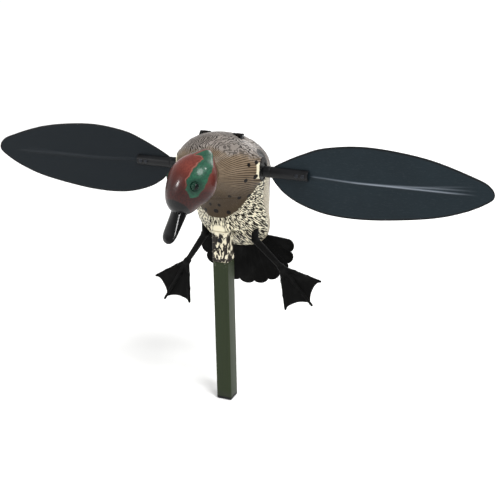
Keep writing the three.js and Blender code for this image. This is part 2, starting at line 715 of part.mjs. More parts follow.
// The box leans with the parting plane and opens backwards, under the hatch.
function addBattery() {
  const bay = new THREE.Group();
  bay.rotation.x = rad(PARTING_LEAN);
  decoy.add(bay);
  const [, y, z] = BOX.at;
  const span = 4 * BOX.pitch + 0.4;
  const inner = [span, 2 * CELL.radius + 1.2, CELL.length + 3.6];
  const outer = [span + 2 * BOX.wall, inner[1] + BOX.wall, inner[2] + 2 * BOX.wall];
  const tray = cut(
    solid(box(outer, [0, y - BOX.wall / 2, z])),
    solid(box(inner, [0, y + 0.1, z])),
  );
  place(bay, 'battery_box', tray, FINISH.blackPlastic());
  for (let index = 0; index < 4; index += 1) {
    const x = (index - 1.5) * BOX.pitch;
    const flip = index % 2 ? -1 : 1;
    const profile = [
      [0, -CELL.length / 2],
      [CELL.radius, -CELL.length / 2],
      [CELL.radius, CELL.length / 2 - 1.3],
      [2.8, CELL.length / 2 - 1.3],
      [2.8, CELL.length / 2],
      [0, CELL.length / 2],
    ];
    const cell = new THREE.LatheGeometry(profile.map(([r, h]) => new THREE.Vector2(r, h)), 14);
    cell.rotateX((flip * Math.PI) / 2).translate(x, y, z);
    place(bay, `battery_cell_${index + 1}`, cell, FINISH.cell());
  }
  [-1, 1].forEach((side) => {
    const name = side > 0 ? 'upper' : 'lower';
    const plate = box([span - 4, 10, 0.8], [0, y, z + side * (inner[2] / 2 - 0.8)]);
    place(bay, `contact_plate_${name}`, plate, FINISH.brass());
  });
}

const SWITCH_FRAME = skinFrame(SWITCH.toward);

// Leads run from the motor's two end caps and from the switch to the battery box.
function addLead(name, points, color) {
  const route = new THREE.CatmullRomCurve3(points.map(vec));
  const section = new THREE.Shape();
  section.absarc(0, 0, LEAD.radius, 0, 2 * Math.PI);
  const options = { steps: 8, curveSegments: 3, extrudePath: route };
  place(decoy, name, new THREE.ExtrudeGeometry(section, options), FINISH.lead(color));
}

function addLeads() {
  const capX = MOTOR.length / 2 + 2 * GAP;
  const boxX = 2 * BOX.pitch + 0.2 + BOX.wall + 2.5 * GAP;
  SIDES.forEach(({ name, sign }) => {
    const route = [[capX, 8, -9], [capX + 5, 11, -9.5], [36.5, 22, -12], [36, 33, -17], [boxX, 36, -19]];
    const color = sign > 0 ? 0xa22a22 : 0x17181a;
    addLead(`motor_lead_${name}`, route.map(([x, y, z]) => [sign * x, y, z]), color);
  });
  addLead('switch_lead', [[6, 53.1, -48.6], [5, 58, -54.5], [3, 67, -59], [2, 74.6, -62.9]], 0xa22a22);
}

function switchPocket() {
  const [width, height] = SWITCH.size;
  const hole = box([width + 2 * GAP, height + 2 * GAP, 40], [0, 0, -10]);
  return solid(hole.applyMatrix4(SWITCH_FRAME));
}

function addSwitch() {
  const [width, height, depth] = SWITCH.size;
  const [wellWidth, wellHeight, wellDepth] = SWITCH.well;
  const [keyWidth, keyHeight, keyDepth] = SWITCH.rocker;
  const housing = cut(
    solid(box([width, height, depth], [0, 0, SWITCH.proud - depth / 2])),
    solid(box([wellWidth, wellHeight, 20], [0, 0, SWITCH.proud - wellDepth + 10])),
  );
  place(decoy, 'switch_body', geometryOf(housing).applyMatrix4(SWITCH_FRAME), FINISH.blackPlastic());

  // The rocker's side view, [down the back, outwards] from the middle of its well's mouth.
  const half = keyHeight / 2;
  const outline = new THREE.Shape();
  outline.moveTo(-half, 2.2);
  outline.lineTo(0, 0.6);
  outline.lineTo(half, -1.2);
  outline.lineTo(half - 1, 1 - keyDepth);
  outline.lineTo(1 - half, 2.4 - keyDepth);
  outline.closePath();
  const key = extrude(outline, keyWidth, -keyWidth / 2).rotateY(Math.PI / 2).rotateX(Math.PI / 2);
  key.translate(0, 0, SWITCH.proud).applyMatrix4(SWITCH_FRAME);
  place(decoy, 'switch_rocker', key, FINISH.rubber());
}

addPole();
addStem();
addShells();
addHatch();
addHinges();
addHead();
addTail();
SIDES.forEach(addLeg);
addMotor();
addCradle();
SIDES.forEach(addWing);
addBattery();
addSwitch();
addLeads();

export default assembly;
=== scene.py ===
"""The looks of a spinning-wing duck decoy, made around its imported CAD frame."""
import json
import math

import bmesh
import bpy
import numpy as np
from mathutils import Matrix, Vector


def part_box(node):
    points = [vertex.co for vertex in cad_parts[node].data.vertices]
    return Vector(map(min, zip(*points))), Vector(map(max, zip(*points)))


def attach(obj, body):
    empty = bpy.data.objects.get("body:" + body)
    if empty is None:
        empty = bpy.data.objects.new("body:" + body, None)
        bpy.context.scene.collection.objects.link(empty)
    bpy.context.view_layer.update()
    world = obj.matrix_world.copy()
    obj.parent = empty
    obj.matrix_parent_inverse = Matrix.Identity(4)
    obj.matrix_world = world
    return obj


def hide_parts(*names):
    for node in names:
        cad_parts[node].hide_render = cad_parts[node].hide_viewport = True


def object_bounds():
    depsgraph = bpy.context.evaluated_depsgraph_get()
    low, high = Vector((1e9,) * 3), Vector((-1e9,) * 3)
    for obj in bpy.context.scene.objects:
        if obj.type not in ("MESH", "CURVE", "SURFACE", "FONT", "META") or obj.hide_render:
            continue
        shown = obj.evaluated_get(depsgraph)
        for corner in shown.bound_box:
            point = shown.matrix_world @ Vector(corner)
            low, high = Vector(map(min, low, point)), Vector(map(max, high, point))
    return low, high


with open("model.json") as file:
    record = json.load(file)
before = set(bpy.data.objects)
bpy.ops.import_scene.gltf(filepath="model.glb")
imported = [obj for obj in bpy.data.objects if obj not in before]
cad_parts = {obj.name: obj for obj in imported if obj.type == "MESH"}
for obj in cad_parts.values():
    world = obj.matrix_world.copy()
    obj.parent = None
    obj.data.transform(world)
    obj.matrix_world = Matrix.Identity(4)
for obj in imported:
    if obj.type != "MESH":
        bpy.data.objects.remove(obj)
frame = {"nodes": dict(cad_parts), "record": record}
CAD_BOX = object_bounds()

# ---- places -------------------------------------------------------------------------------
# Shapes are worked out in millimetres from the middle of the wing axle: X to the duck's left,
# Y to its back, Z up. They become metres in the part's own frame when a mesh is made.

MM = 0.001
AXLE = sum(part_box("drive_axle"), Vector()) / 2
GAP = 0.3
SIDES = (("left", 1), ("right", -1))
BODY_STEP = 1.1
HEAD_STEP = 0.8
LEG_STEP = 0.8

WALL = 2.4
BODY_LOBES = (
    dict(at=(0, 26, -22), radii=(40, 34, 73), lean=52),
    dict(at=(0, 6, 4), radii=(47.6, 56, 30), lean=-13, blend=30),
    dict(at=(0, 33, -72), radii=(41, 24, 51), lean=48, blend=30),
)
PARTING_LEAN = 19.6

HEAD_AT = np.array((4.6, -79.8, 8.4))
HEAD_YAW = 30
HEAD_PITCH = 43
HEAD_LOBES = (
    dict(at=(0, 0, 0), radii=(27, 28.3, 22.7)),
    dict(at=(0, 24, -5.6), radii=(16, 15, 14.6), blend=16),
    dict(at=(0, -21.4, 3.3), radii=(8, 13.5, 8), blend=10),
)
NECK = dict(start=(4, -76, 5), end=(0, -34, 4), radius=16, blend=6)
COLLAR_Y = -50.0
BILL = dict(
    root=21, tip=68.7, root_drop=-5.5, drop=-22, width=12.2, spoon=12.4, depth=8, tip_depth=2.6
)
# Where the black round the bill's root begins; this black is partly painted shade at the bill's corners.
MUZZLE = dict(start=33, slant=0.22)
EYE = dict(radius=4.2, at=(23, 9, 8), axis=(0.93, 0.14, 0.3))

POLE_SIDE = 19.05
STEM_SHOULDER = -73.0
LEG_ROOT = (31.8, 19.7, -88.7)
LEG_SOCKET = dict(post=7, bore=4.2, top=-65.7)
LEG_TOP = -65.5
HATCH = dict(
    tilt=-46, hinge=(0, 5, 36.4), half_width=33, start=3.7, end=80, corner=9, swing=1.9
)
HATCH_REACH = ((-34, 1, -24), (34, 74, 42))
HINGE_X = 20
FLANK_DISC = 9.2
BOSS = dict(low=-1, high=6, radius=10.5, face=50.6, blend=4)
POSTS = ((31, 22), (-31, 22), (23, -84), (-23, -84))
POST = dict(radius=4.8, bore=3.4, seat=7)
HINGE_MARK = dict(along=3.9, half_width=7, depth=4)
# An oval of painted shade on each flank, behind the boss.
PIT_SHADE = dict(y=6, z=8, half_length=10, half_height=15)
LIP = dict(width=1.4, middle=3, half_height=9)
BARE = dict(z=-70, inner=3, outer=7)
TAIL_Y = 67
TAIL_BOLT = dict(x=11, y=79, z=-93, post=4.4)

CROWN = dict(slope=0.42, height=11.7)
BACK_LINE = dict(y=13, z=9, normal=(0.833, 0.552))
FEATHER = dict(row=12.5, column=13.0, lift=0.55)

# Paint on the breast fans out from one place inside the body. Each dot, made on both sides, is
# (degrees round from straight down, degrees out from the fan's middle).
FAN_AT = (0, 6, -30)
FAN_TILT = 24
BIB_REACH = 76.4
FAN_SCALE = 52
DOTS = (
    (17, 43.5), (2, 61), (31, 69.5), (70, 37.5), (76, 58), (86, 74), (105, 49),
    (110, 61), (113, 66.5), (112, 74), (122, 50.5), (124, 60.5), (128, 70.5),
)
DOT_RADIUS = 2.4


# ---- fields: signed distances, negative inside --------------------------------------------


def turned_x(points, degrees, origin=(0, 0, 0)):
    """The points in a frame at origin that is turned about X."""
    c, s = math.cos(math.radians(degrees)), math.sin(math.radians(degrees))
    x, y, z = np.moveaxis(points - np.array(origin, float), -1, 0)
    return np.stack((x, y * c + z * s, z * c - y * s), -1)


def egg(points, at, radii, lean=0, blend=0):
    """An ellipsoid. Only lobes() reads the blend."""
    p = turned_x(points, lean, at)
    r = np.array(radii, float)
    near = np.linalg.norm(p / r, axis=-1)
    slope = np.linalg.norm(p / r**2, axis=-1)
    return near * (near - 1) / np.maximum(slope, 1e-9)


def capsule(points, start, end, radius, end_radius=None):
    """A rod with round ends; it tapers where the end has its own radius."""
    a, b = np.array(start, float), np.array(end, float)
    line = b - a
    t = np.clip((points - a) @ line / (line @ line), 0, 1)
    thick = radius if end_radius is None else radius + (end_radius - radius) * t
    return np.linalg.norm(points - a - t[..., None] * line, axis=-1) - thick


def rod(points, start, end, radius, rounding=0.4):
    """A cylinder with flat ends and slightly rounded rims."""
    a, b = np.array(start, float), np.array(end, float)
    length = np.linalg.norm(b - a)
    line = (b - a) / length
    along = (points - a) @ line
    off = np.linalg.norm(points - a - along[..., None] * line, axis=-1)
    side, cap = off - radius + rounding, np.abs(along - length / 2) - length / 2 + rounding
    outside = np.hypot(np.maximum(side, 0), np.maximum(cap, 0))
    return outside + np.minimum(np.maximum(side, cap), 0) - rounding


def cuboid(points, size, centre=(0, 0, 0), rounding=0.5):
    q = np.abs(points - np.array(centre, float)) - np.array(size, float) / 2 + rounding
    outside = np.linalg.norm(np.maximum(q, 0), axis=-1)
    return outside + np.minimum(q.max(-1), 0) - rounding


def join(a, b, width=0.01):
    """Both fields together, with a fillet of this width where they meet."""
    overlap = np.maximum(width - np.abs(a - b), 0) / width
    return np.minimum(a, b) - overlap**2 * width / 4


def cut(a, b, width=0.5):
    return -join(-a, b, width)


def meet(a, b, width=0.5):
    return -join(-a, -b, width)


def lobes(points, parts):
    field = egg(points, **parts[0])
    for part in parts[1:]:
        field = join(field, egg(points, **part), part["blend"])
    return field


def head_axes():
    """The head's own axes: across, forward along the bill, and up."""
    yaw, pitch = math.radians(HEAD_YAW), math.radians(HEAD_PITCH)
    across = np.array((-math.cos(yaw), math.sin(yaw), 0))
    flat = math.cos(pitch)
    along = np.array((-math.sin(yaw) * flat, -math.cos(yaw) * flat, -math.sin(pitch)))
    return np.stack((across, along, np.cross(across, along)), 1)


HEAD_AXES = head_axes()


def in_head(points):
    return (points - HEAD_AT) @ HEAD_AXES


def out_of_head(local):
    return np.asarray(local, float) @ HEAD_AXES.T + HEAD_AT


def body(points):
    return lobes(points, BODY_LOBES)


def neck(points, radius=NECK["radius"]):
    return capsule(points, NECK["start"], NECK["end"], radius)


def head(points):
    return join(lobes(in_head(points), HEAD_LOBES), neck(points), NECK["blend"])


def in_hatch(points):
    return turned_x(points, HATCH["tilt"], HATCH["hinge"])


def smoothstep(value, low, high):
    t = np.clip((value - low) / (high - low), 0, 1)
    return t * t * (3 - 2 * t)


def bell(value, width):
    """1 where the value is 0, falling away smoothly to both sides."""
    return np.exp(-((value / width) ** 2))


# ---- meshes -------------------------------------------------------------------------------


def node_box(name):
    """A CAD node's low and high corner, in millimetres from the axle."""
    return [(np.array(corner) - np.array(AXLE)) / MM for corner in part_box(name)]


def add_object(name, data):
    thing = bpy.data.objects.new(name, data)
    bpy.context.scene.collection.objects.link(thing)
    return thing


def make(name, points, faces, body_name, slot, replaces, paint=None, sharp=180):
    """A piece from points in millimetres from the axle. It rides on a body and wears the paint
    of its slot, or another that is named."""
    mesh = bpy.data.meshes.new(name)
    places = np.asarray(points, float) * MM + np.array(AXLE)
    mesh.from_pydata(places.tolist(), [], [list(map(int, f)) for f in faces])
    mesh.validate()
    mesh.shade_smooth()
    if sharp < 180:
        mesh.set_sharp_from_angle(angle=math.radians(sharp))
    mesh.materials.append(PAINTS[paint or slot])
    piece = add_object(name, mesh)
    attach(piece, body_name)
    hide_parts(*replaces)
    return piece


def net_faces(inside, index):
    """A quad round each grid edge that crosses the surface, from the points of its four cells."""
    faces = []
    counts = inside.shape
    for axis in range(3):
        unit, u, v = np.roll(np.eye(3, dtype=int), -axis, axis=0)
        near = inside[tuple(slice(0, counts[i] - unit[i]) for i in range(3))]
        far = inside[tuple(slice(unit[i], counts[i]) for i in range(3))]
        at = np.argwhere(near != far)
        quads = np.stack([index[tuple((at - d).T)] for d in (u + v, v, 0 * u, u)], 1)
        flip = ~near[tuple(at.T)]
        quads[flip] = quads[flip][:, ::-1]
        faces.append(quads)
    return np.concatenate(faces)


def surface(field, low, high, step):
    """The zero surface of a field in a box, by surface nets: one point in each crossed cell."""
    low = np.array(low, float) - 2 * step
    counts = np.ceil((np.array(high, float) + 2 * step - low) / step).astype(int) + 1
    axes = [low[i] + step * np.arange(counts[i]) for i in range(3)]
    value = field(np.stack(np.meshgrid(*axes, indexing="ij"), -1))
    for axis in range(3):
        for end in (0, -1):
            border = np.moveaxis(value, axis, 0)[end]
            border[:] = np.maximum(border, step)
    inside = value < 0
    corners = [np.array(c) for c in np.ndindex(2, 2, 2)]
    cells_shape = counts - 1
    filled = np.zeros(cells_shape, int)
    for i, j, k in corners:
        filled += inside[i : i + cells_shape[0], j : j + cells_shape[1], k : k + cells_shape[2]]
    crossed = (filled > 0) & (filled < 8)
    cells = np.argwhere(crossed)
    total = np.zeros((len(cells), 3))
    crossings = np.zeros(len(cells))
    for axis in range(3):
        unit = np.eye(3, dtype=int)[axis]
        for corner in (c for c in corners if c[axis] == 0):
            a = value[tuple((cells + corner).T)]
            b = value[tuple((cells + corner + unit).T)]
            hit = (a < 0) != (b < 0)
            share = np.where(hit, a / np.where(hit, a - b, 1), 0)
            total += hit[:, None] * (corner + share[:, None] * unit)
            crossings += hit
    points = low + (cells + total / crossings[:, None]) * step
    index = np.full(cells_shape, -1)
    index[crossed] = np.arange(len(cells))
    return settle(field, points, step), net_faces(inside, index)


def slope(field, points, reach=0.15):
    steps = reach * np.eye(3)
    rise = [field(points + s) - field(points - s) for s in steps]
    return np.stack(rise, -1) / (2 * reach)


def settle(field, points, step):
    """Moves each point onto the field's zero surface, by no more than a third of a cell."""
    start = points
    for _ in range(3):
        gradient = slope(field, points)
        size = np.maximum((gradient**2).sum(-1), 0.05)
        points = points - (field(points) / size)[:, None] * gradient
        points = start + np.clip(points - start, -step / 3, step / 3)
    return points


def add_values(piece, **attributes):
    """Stores a number, or a vector, for each point under each name, for the material to read."""
    for name, values in attributes.items():
        values = np.asarray(values, np.float32)
        kind, key = ("FLOAT_VECTOR", "vector") if values.ndim == 2 else ("FLOAT", "value")
        attribute = piece.data.attributes.new(name, kind, "POINT")
        attribute.data.foreach_set(key, values.ravel())


def points_of(piece):
    """A piece's points in millimetres from the axle."""
    co = np.empty(len(piece.data.vertices) * 3)
    piece.data.vertices.foreach_get("co", co)
    return (co.reshape(-1, 3) - np.array(AXLE)) / MM


def carved(name, field, low, high, step, body_name, slot, replaces, paint=None):
    points, faces = surface(field, low, high, step)
    return make(name, points, faces, body_name, slot, replaces, paint)


def grid_faces(rows, columns, wrap=False):
    """Quads between rows of points; wrap joins the last column to the first."""
    r, c = np.meshgrid(np.arange(rows - 1), np.arange(columns - (not wrap)), indexing="ij")
    r, c = r.ravel(), c.ravel()
    right = (c + 1) % columns
    a, b = r * columns, (r + 1) * columns
    return np.stack((a + c, a + right, b + right, b + c), 1)


def slab_faces(rows, columns):
    """Two grids, the second behind the first, and the strip that joins their rims."""
    front = grid_faces(rows, columns)
    count = rows * columns
    rim = list(range(columns))
    rim += [r * columns + columns - 1 for r in range(1, rows)]
    rim += [(rows - 1) * columns + c for c in range(columns - 2, -1, -1)]
    rim += [r * columns for r in range(rows - 2, 0, -1)]
    sides = [[b, a, a + count, b + count] for a, b in zip(rim, rim[1:] + rim[:1])]
    return front.tolist() + (front[:, ::-1] + count).tolist() + sides


def mirrored(points, faces, sign):
    """A skin made for the left side, on the side that sign names."""
    if sign > 0:
        return points, faces
    return points * (-1, 1, 1), [f[::-1] for f in faces]


def capped_faces(rows, columns):
    """Faces of a closed skin: rings of points, then a point that closes each end."""
    count = rows * columns
    last = count - columns
    faces = grid_faces(rows, columns, wrap=True).tolist()
    for k in range(columns):
        after = (k + 1) % columns
        faces.append([count, after, k])
        faces.append([count + 1, last + k, last + after])
    return faces


def lathe(profile, axis, origin, segments=48):
    """Points and faces of a closed turned solid. profile is [(along, radius), ...]; ends on the axis."""
    axis = np.array(axis, float) / np.linalg.norm(axis)
    side = np.cross(axis, (0.3, 0.2, 1.0) if abs(axis[2]) < 0.9 else (1.0, 0.2, 0))
    side /= np.linalg.norm(side)
    other = np.cross(axis, side)
    angle = np.linspace(0, 2 * math.pi, segments, endpoint=False)
    ring = np.cos(angle)[:, None] * side + np.sin(angle)[:, None] * other
    points = [np.array(origin) + along * axis + radius * ring for along, radius in profile[1:-1]]
    ends = [np.array(origin) + profile[i][0] * axis for i in (0, -1)]
    return np.concatenate(points + [np.array(ends)]), capped_faces(len(points), segments)


def turned_ring(profile, segments):
    """Points and faces of a ring about the X axis; the profile closes on itself."""
    angle = np.linspace(0, 2 * math.pi, segments, endpoint=False)
    circle = np.stack((0 * angle, np.cos(angle), np.sin(angle)), 1)
    points = np.concatenate([radius * circle + (along, 0, 0) for along, radius in profile])
    return points, grid_faces(len(profile) + 1, segments, wrap=True)[:, ::-1] % len(points)


def rounded(profile, radius=0.3, steps=3):
    """A profile for turned pieces with every corner between its ends rounded."""
    out = [profile[0]]
    for before, at, after in zip(profile, profile[1:], profile[2:]):
        a, p, b = (np.array(q, float) for q in (before, at, after))
        da, db = np.linalg.norm(a - p), np.linalg.norm(b - p)
        reach = min(radius, da / 2.1, db / 2.1)
        first, last = p + (a - p) / da * reach, p + (b - p) / db * reach
        for t in np.linspace(0, 1, steps + 1):
            out.append(tuple((1 - t) ** 2 * first + 2 * t * (1 - t) * p + t * t * last))
    return out + [profile[-1]]


# ---- materials ----------------------------------------------------------------------------


def srgb(red, green, blue):
    """A colour given as seen, 0 to 255, as the linear values that a shader takes."""
    def linear(c):
        c /= 255
        return c / 12.92 if c <= 0.04045 else ((c + 0.055) / 1.055) ** 2.4

    return (linear(red), linear(green), linear(blue), 1)


def toned(color, factor, lift=0.0):
    """A linear colour made darker or lighter."""
    return tuple(min(1, c * factor + lift) for c in color[:3]) + (1,)


class Paint:
    """A node material. Its methods add nodes and return their output sockets."""

    def __init__(self, name, roughness=0.5, metallic=0.0, coat=0.0, specular=0.5):
        self.material = bpy.data.materials.new(name)
        self.material.use_nodes = True
        self.tree = self.material.node_tree
        self.shader = self.tree.nodes["Principled BSDF"]
        sockets = {"Roughness": roughness, "Metallic": metallic, "Specular IOR Level": specular}
        sockets |= {"Coat Weight": coat, "Coat Roughness": 0.12}
        for key, value in sockets.items():
            self.shader.inputs[key].default_value = value

    def put(self, socket, value):
        if isinstance(value, bpy.types.NodeSocket):
            self.tree.links.new(value, socket)
        else:
            socket.default_value = value

    def node(self, kind, inputs=(), **settings):
        node = self.tree.nodes.new("ShaderNode" + kind)
        for key, value in settings.items():
            setattr(node, key, value)
        for key, value in dict(inputs).items():
            self.put(node.inputs[key], value)
        return node

    def math(self, operation, *values):
        node = self.node("Math", operation=operation)
        for socket, value in zip(node.inputs, values):
            self.put(socket, value)
        return node.outputs[0]

    def times(self, first, second):
        return self.math("MULTIPLY", first, second)

    def scaled(self, value, factor, offset):
        return self.math("MULTIPLY_ADD", value, factor, offset)

    def band(self, value, low, high):
        """0 below low, 1 above high, smooth between."""
        inputs = {"Value": value, "From Min": low, "From Max": high}
        node = self.node("MapRange", inputs, interpolation_type="SMOOTHSTEP")
        return node.outputs[0]

    def mix(self, share, first, second):
        node = self.node("Mix", data_type="RGBA")
        for index, value in ((0, share), (6, first), (7, second)):
            self.put(node.inputs[index], value)
        return node.outputs[2]

    def value(self, name):
        return self.node("Attribute", attribute_name=name).outputs["Fac"]

    def vector(self, name):
        return self.node("Attribute", attribute_name=name).outputs["Vector"]

    def place(self, scale=(1, 1, 1), turn=(0, 0, 0), source=None):
        """The point on the object, in millimetres, stretched by scale."""
        if source is None:
            source = self.node("TexCoord").outputs["Object"]
            scale = tuple(s / MM for s in scale)
        inputs = {"Vector": source, "Scale": scale, "Rotation": turn}
        return self.node("Mapping", inputs).outputs[0]

    def height(self):
        """How high the point is on the object, in millimetres."""
        return self.node("SeparateXYZ", {"Vector": self.place()}).outputs[2]

    def noise(self, vector, scale, detail=3.0, roughness=0.55, distortion=0.0):
        inputs = {"Vector": vector, "Scale": scale, "Detail": detail}
        inputs |= {"Roughness": roughness, "Distortion": distortion}
        return self.node("TexNoise", inputs).outputs[0]

    def wave(self, vector, scale, distortion, detail=2.0, detail_scale=1.0):
        inputs = {"Vector": vector, "Scale": scale, "Distortion": distortion}
        inputs |= {"Detail": detail, "Detail Scale": detail_scale}
        return self.node("TexWave", inputs).outputs["Fac"]

    def bump(self, height, depth, strength=1.0):
        """depth is the height of a full step, in millimetres."""
        inputs = {"Height": height, "Distance": depth * MM, "Strength": strength}
        self.put(self.shader.inputs["Normal"], self.node("Bump", inputs).outputs[0])

    def color(self, value):
        self.put(self.shader.inputs["Base Color"], value)

    def gloss(self, value, low, high):
        """A roughness that goes from low to high with the value."""
        inputs = {"Value": value, "To Min": low, "To Max": high}
        self.put(self.shader.inputs["Roughness"], self.node("MapRange", inputs).outputs[0])


def plain_paint(name, color, roughness, grain=0.05, scale=1.2, spread=0.18, specular=0.5):
    """Moulded or painted stuff: a colour that wanders a little, a fine grain and uneven gloss."""
    paint = Paint(name, roughness, specular=specular)
    place = paint.place()
    cloud = paint.noise(place, 0.03, 4)
    fine = paint.noise(place, scale, 3)
    dark, light = toned(color, 1 - spread), toned(color, 1 + spread)
    paint.color(paint.mix(paint.band(cloud, 0.35, 0.65), dark, light))
    paint.gloss(fine, roughness * 0.85, min(1, roughness * 1.15))
    paint.bump(fine, grain)
    return paint


def wire_brushed(name, color, roughness, stretch):
    """Metal with fine lines left by turning or rolling."""
    paint = Paint(name, roughness, 1.0)
    lines = paint.noise(paint.place(stretch), 1.0, 4, 0.7)
    paint.color(paint.mix(lines, toned(color, 0.75), color))
    paint.gloss(lines, roughness * 0.7, roughness * 1.4)
    paint.bump(lines, 0.03)
    return paint


def bib_lines(paint, fan):
    """Fine lines that run out from the neck, broken here and there."""
    lines = paint.wave(paint.place((1, 0.12, 1), source=fan), 0.137, 5.0, 2, 0.3)
    thin = paint.band(lines, 0.52, 0.16)
    broken = paint.band(paint.noise(paint.place((0.5, 0.08, 1), source=fan), 1.0, 2), 0.26, 0.46)
    return paint.times(paint.times(thin, broken), 0.85)


def bib_color(paint, place, line):
    """Tan with painted shade low on the breast, darker along its rim, with the fine lines."""
    tan = paint.mix(paint.noise(place, 0.06, 3), srgb(98, 81, 61), srgb(144, 127, 107))
    # Painted shade: the tan darkens lower on the breast, below the head.
    middle = AXLE.z / MM
    low = paint.band(paint.height(), middle + 8, middle - 34)
    tan = paint.mix(paint.times(low, 0.76), tan, srgb(42, 31, 16))
    rim = paint.band(paint.value("bib"), 9.0, 0.0)
    tan = paint.mix(paint.times(rim, 0.6), tan, srgb(66, 54, 34))
    return paint.mix(line, tan, srgb(38, 28, 20))


def back_color(paint, place):
    """Grey with pale-edged feathers and a scribble of fine dark lines."""
    scribble = paint.wave(paint.place((1, 0.7, 0.8), (0.4, 0.5, 0.7)), 0.17, 13.0, 2, 0.9)
    scribble = paint.band(scribble, 0.62, 0.3)
    patches = paint.band(paint.noise(place, 0.055, 2), 0.4, 0.58)
    scribble = paint.times(scribble, paint.scaled(patches, 0.35, 0.65))
    grey = paint.mix(paint.noise(place, 0.045, 2), srgb(96, 88, 81), srgb(160, 152, 146))
    feather = paint.band(paint.value("feather"), 0.1, 1.0)
    grey = paint.mix(paint.times(feather, 0.55), grey, srgb(66, 52, 42))
    edging = paint.band(paint.value("feather"), 0.12, 0.0)
    grey = paint.mix(paint.times(edging, paint.value("scaled")), grey, srgb(188, 172, 150))
    return paint.mix(scribble, grey, srgb(22, 17, 14))


def belly_color(paint, place, fan, off_lip):
    """Cream with broken dark strokes that run away from the bib; duller and plainer at the rear."""
    stroke = paint.noise(paint.place((0.78, 0.15, 1), source=fan), 1.0, 1.5, 0.4, 0.3)
    stroke = paint.band(stroke, 0.46, 0.492)
    stroke = paint.times(stroke, paint.band(paint.value("clear"), 0.0, 1.0))
    rear = paint.band(paint.value("behind"), 7.0, 8.5)
    stroke = paint.times(stroke, paint.scaled(rear, -0.7, 1.0))
    cream = paint.mix(paint.noise(place, 0.03, 3), srgb(212, 203, 172), srgb(240, 235, 214))
    cream = paint.mix(paint.times(rear, 0.8), cream, srgb(148, 138, 120))
    return paint.mix(paint.times(stroke, off_lip), cream, srgb(26, 21, 14))


def dot_share(paint, fan):
    """1 in the breast's black dots, which lie alike on both sides, and in the other dark places, one of
    them painted shade.
    """
    x, y, _ = paint.node("SeparateXYZ", {"Vector": fan}).outputs
    place = paint.node("CombineXYZ", {"X": paint.math("ABSOLUTE", x), "Y": y}).outputs[0]
    nearest = 99.0
    for angles in DOTS:
        centre = tuple(math.radians(angle) * FAN_SCALE for angle in angles) + (0,)
        away = paint.node("VectorMath", {0: place, 1: centre}, operation="DISTANCE")
        nearest = paint.math("MINIMUM", nearest, away.outputs["Value"])
    spots = paint.math("MULTIPLY_ADD", nearest, paint.value("off"), -DOT_RADIUS)
    spots = paint.math("MAXIMUM", spots, paint.value("behind"))
    return paint.band(paint.math("MINIMUM", paint.value("dot"), spots), 0.2, -0.2)


def plumage(name):
    """The body's paint: a tan bib with fine feather lines and black dots, a scribbled grey back,
    and a cream belly covered with dark strokes. The pieces store where each begins."""
    paint = Paint(name, 0.42, coat=0.07, specular=0.09)
    place = paint.place()
    fan = paint.vector("fan")
    off_lip = paint.band(paint.value("lip"), 0.3, -0.3)
    line = bib_lines(paint, fan)
    bib, back = bib_color(paint, place, line), back_color(paint, place)
    belly = belly_color(paint, place, fan, off_lip)
    ragged = paint.scaled(paint.noise(place, 0.3, 2), 1.6, -0.8)
    in_bib = paint.band(paint.math("ADD", paint.value("bib"), ragged), -0.25, 0.25)
    in_bib = paint.times(in_bib, off_lip)
    ragged = paint.scaled(paint.noise(place, 0.05, 3), 24.0, -12.0)
    on_crown = paint.band(paint.math("ADD", paint.value("crown"), ragged), -4.0, 5.0)
    front = paint.mix(in_bib, belly, paint.mix(on_crown, bib, back))
    color = paint.mix(paint.band(paint.value("back"), -1.0, 1.0), front, back)
    paint.color(paint.mix(dot_share(paint, fan), color, srgb(16, 12, 10)))
    height = paint.scaled(paint.times(line, in_bib), -0.8, 1.0)
    height = paint.math("ADD", height, paint.times(paint.noise(place, 0.9, 3), 0.35))
    paint.bump(height, 0.22)
    return paint


def head_paint():
    """Glossy chestnut with painted shade underneath and towards the bill, black round the bill's root
    that is partly painted shade, and a green patch from each eye to the nape.
    """
    paint = Paint("head_paint", 0.34, coat=0.25, specular=0.16)
    place = paint.place()
    cloud = paint.noise(place, 0.06, 4)
    streak = paint.noise(paint.place((0.5, 0.16, 0.5), (0.7, 0, 0.5)), 1.0, 3)
    red = paint.mix(cloud, srgb(86, 32, 25), srgb(122, 60, 50))
    # Painted shade: the chestnut darkens towards the bill and underneath.
    red = paint.mix(paint.value("dark"), red, srgb(26, 8, 8))
    red = paint.mix(paint.band(streak, 0.62, 0.4), paint.mix(0.35, red, srgb(70, 26, 22)), red)
    green = paint.mix(cloud, srgb(16, 52, 38), srgb(44, 98, 74))
    green = paint.mix(paint.band(streak, 0.6, 0.42), paint.mix(0.4, green, srgb(14, 40, 32)), green)
    near_eye = paint.band(paint.value("lid"), 8.0, 1.5)
    green = paint.mix(paint.times(near_eye, 0.75), green, srgb(12, 42, 32))
    ragged = paint.scaled(paint.noise(place, 0.2, 3), 4.0, -2.0)
    edge = paint.math("ADD", paint.value("patch"), ragged)
    pale = paint.band(paint.math("ABSOLUTE", paint.math("ADD", edge, -0.9)), 0.8, 0.2)
    color = paint.mix(paint.band(edge, 0.5, -0.5), red, green)
    pale = paint.times(paint.times(pale, 0.45), paint.value("buff"))
    color = paint.mix(pale, color, srgb(150, 104, 92))
    tan = paint.mix(cloud, srgb(100, 86, 71), srgb(138, 124, 110))
    color = paint.mix(paint.band(paint.value("collar"), -3.0, 3.0), color, tan)
    lid = paint.band(paint.value("lid"), 1.3, 0.5)
    color = paint.mix(paint.times(lid, 0.5), color, srgb(24, 60, 46))
    # Black round the bill's root, partly painted shade at the bill's corners.
    muzzle = paint.band(paint.value("muzzle"), -0.6, 0.6)
    paint.color(paint.mix(muzzle, color, srgb(9, 9, 11)))
    paint.bump(paint.math("ADD", streak, paint.times(cloud, 0.5)), 0.25)
    return paint


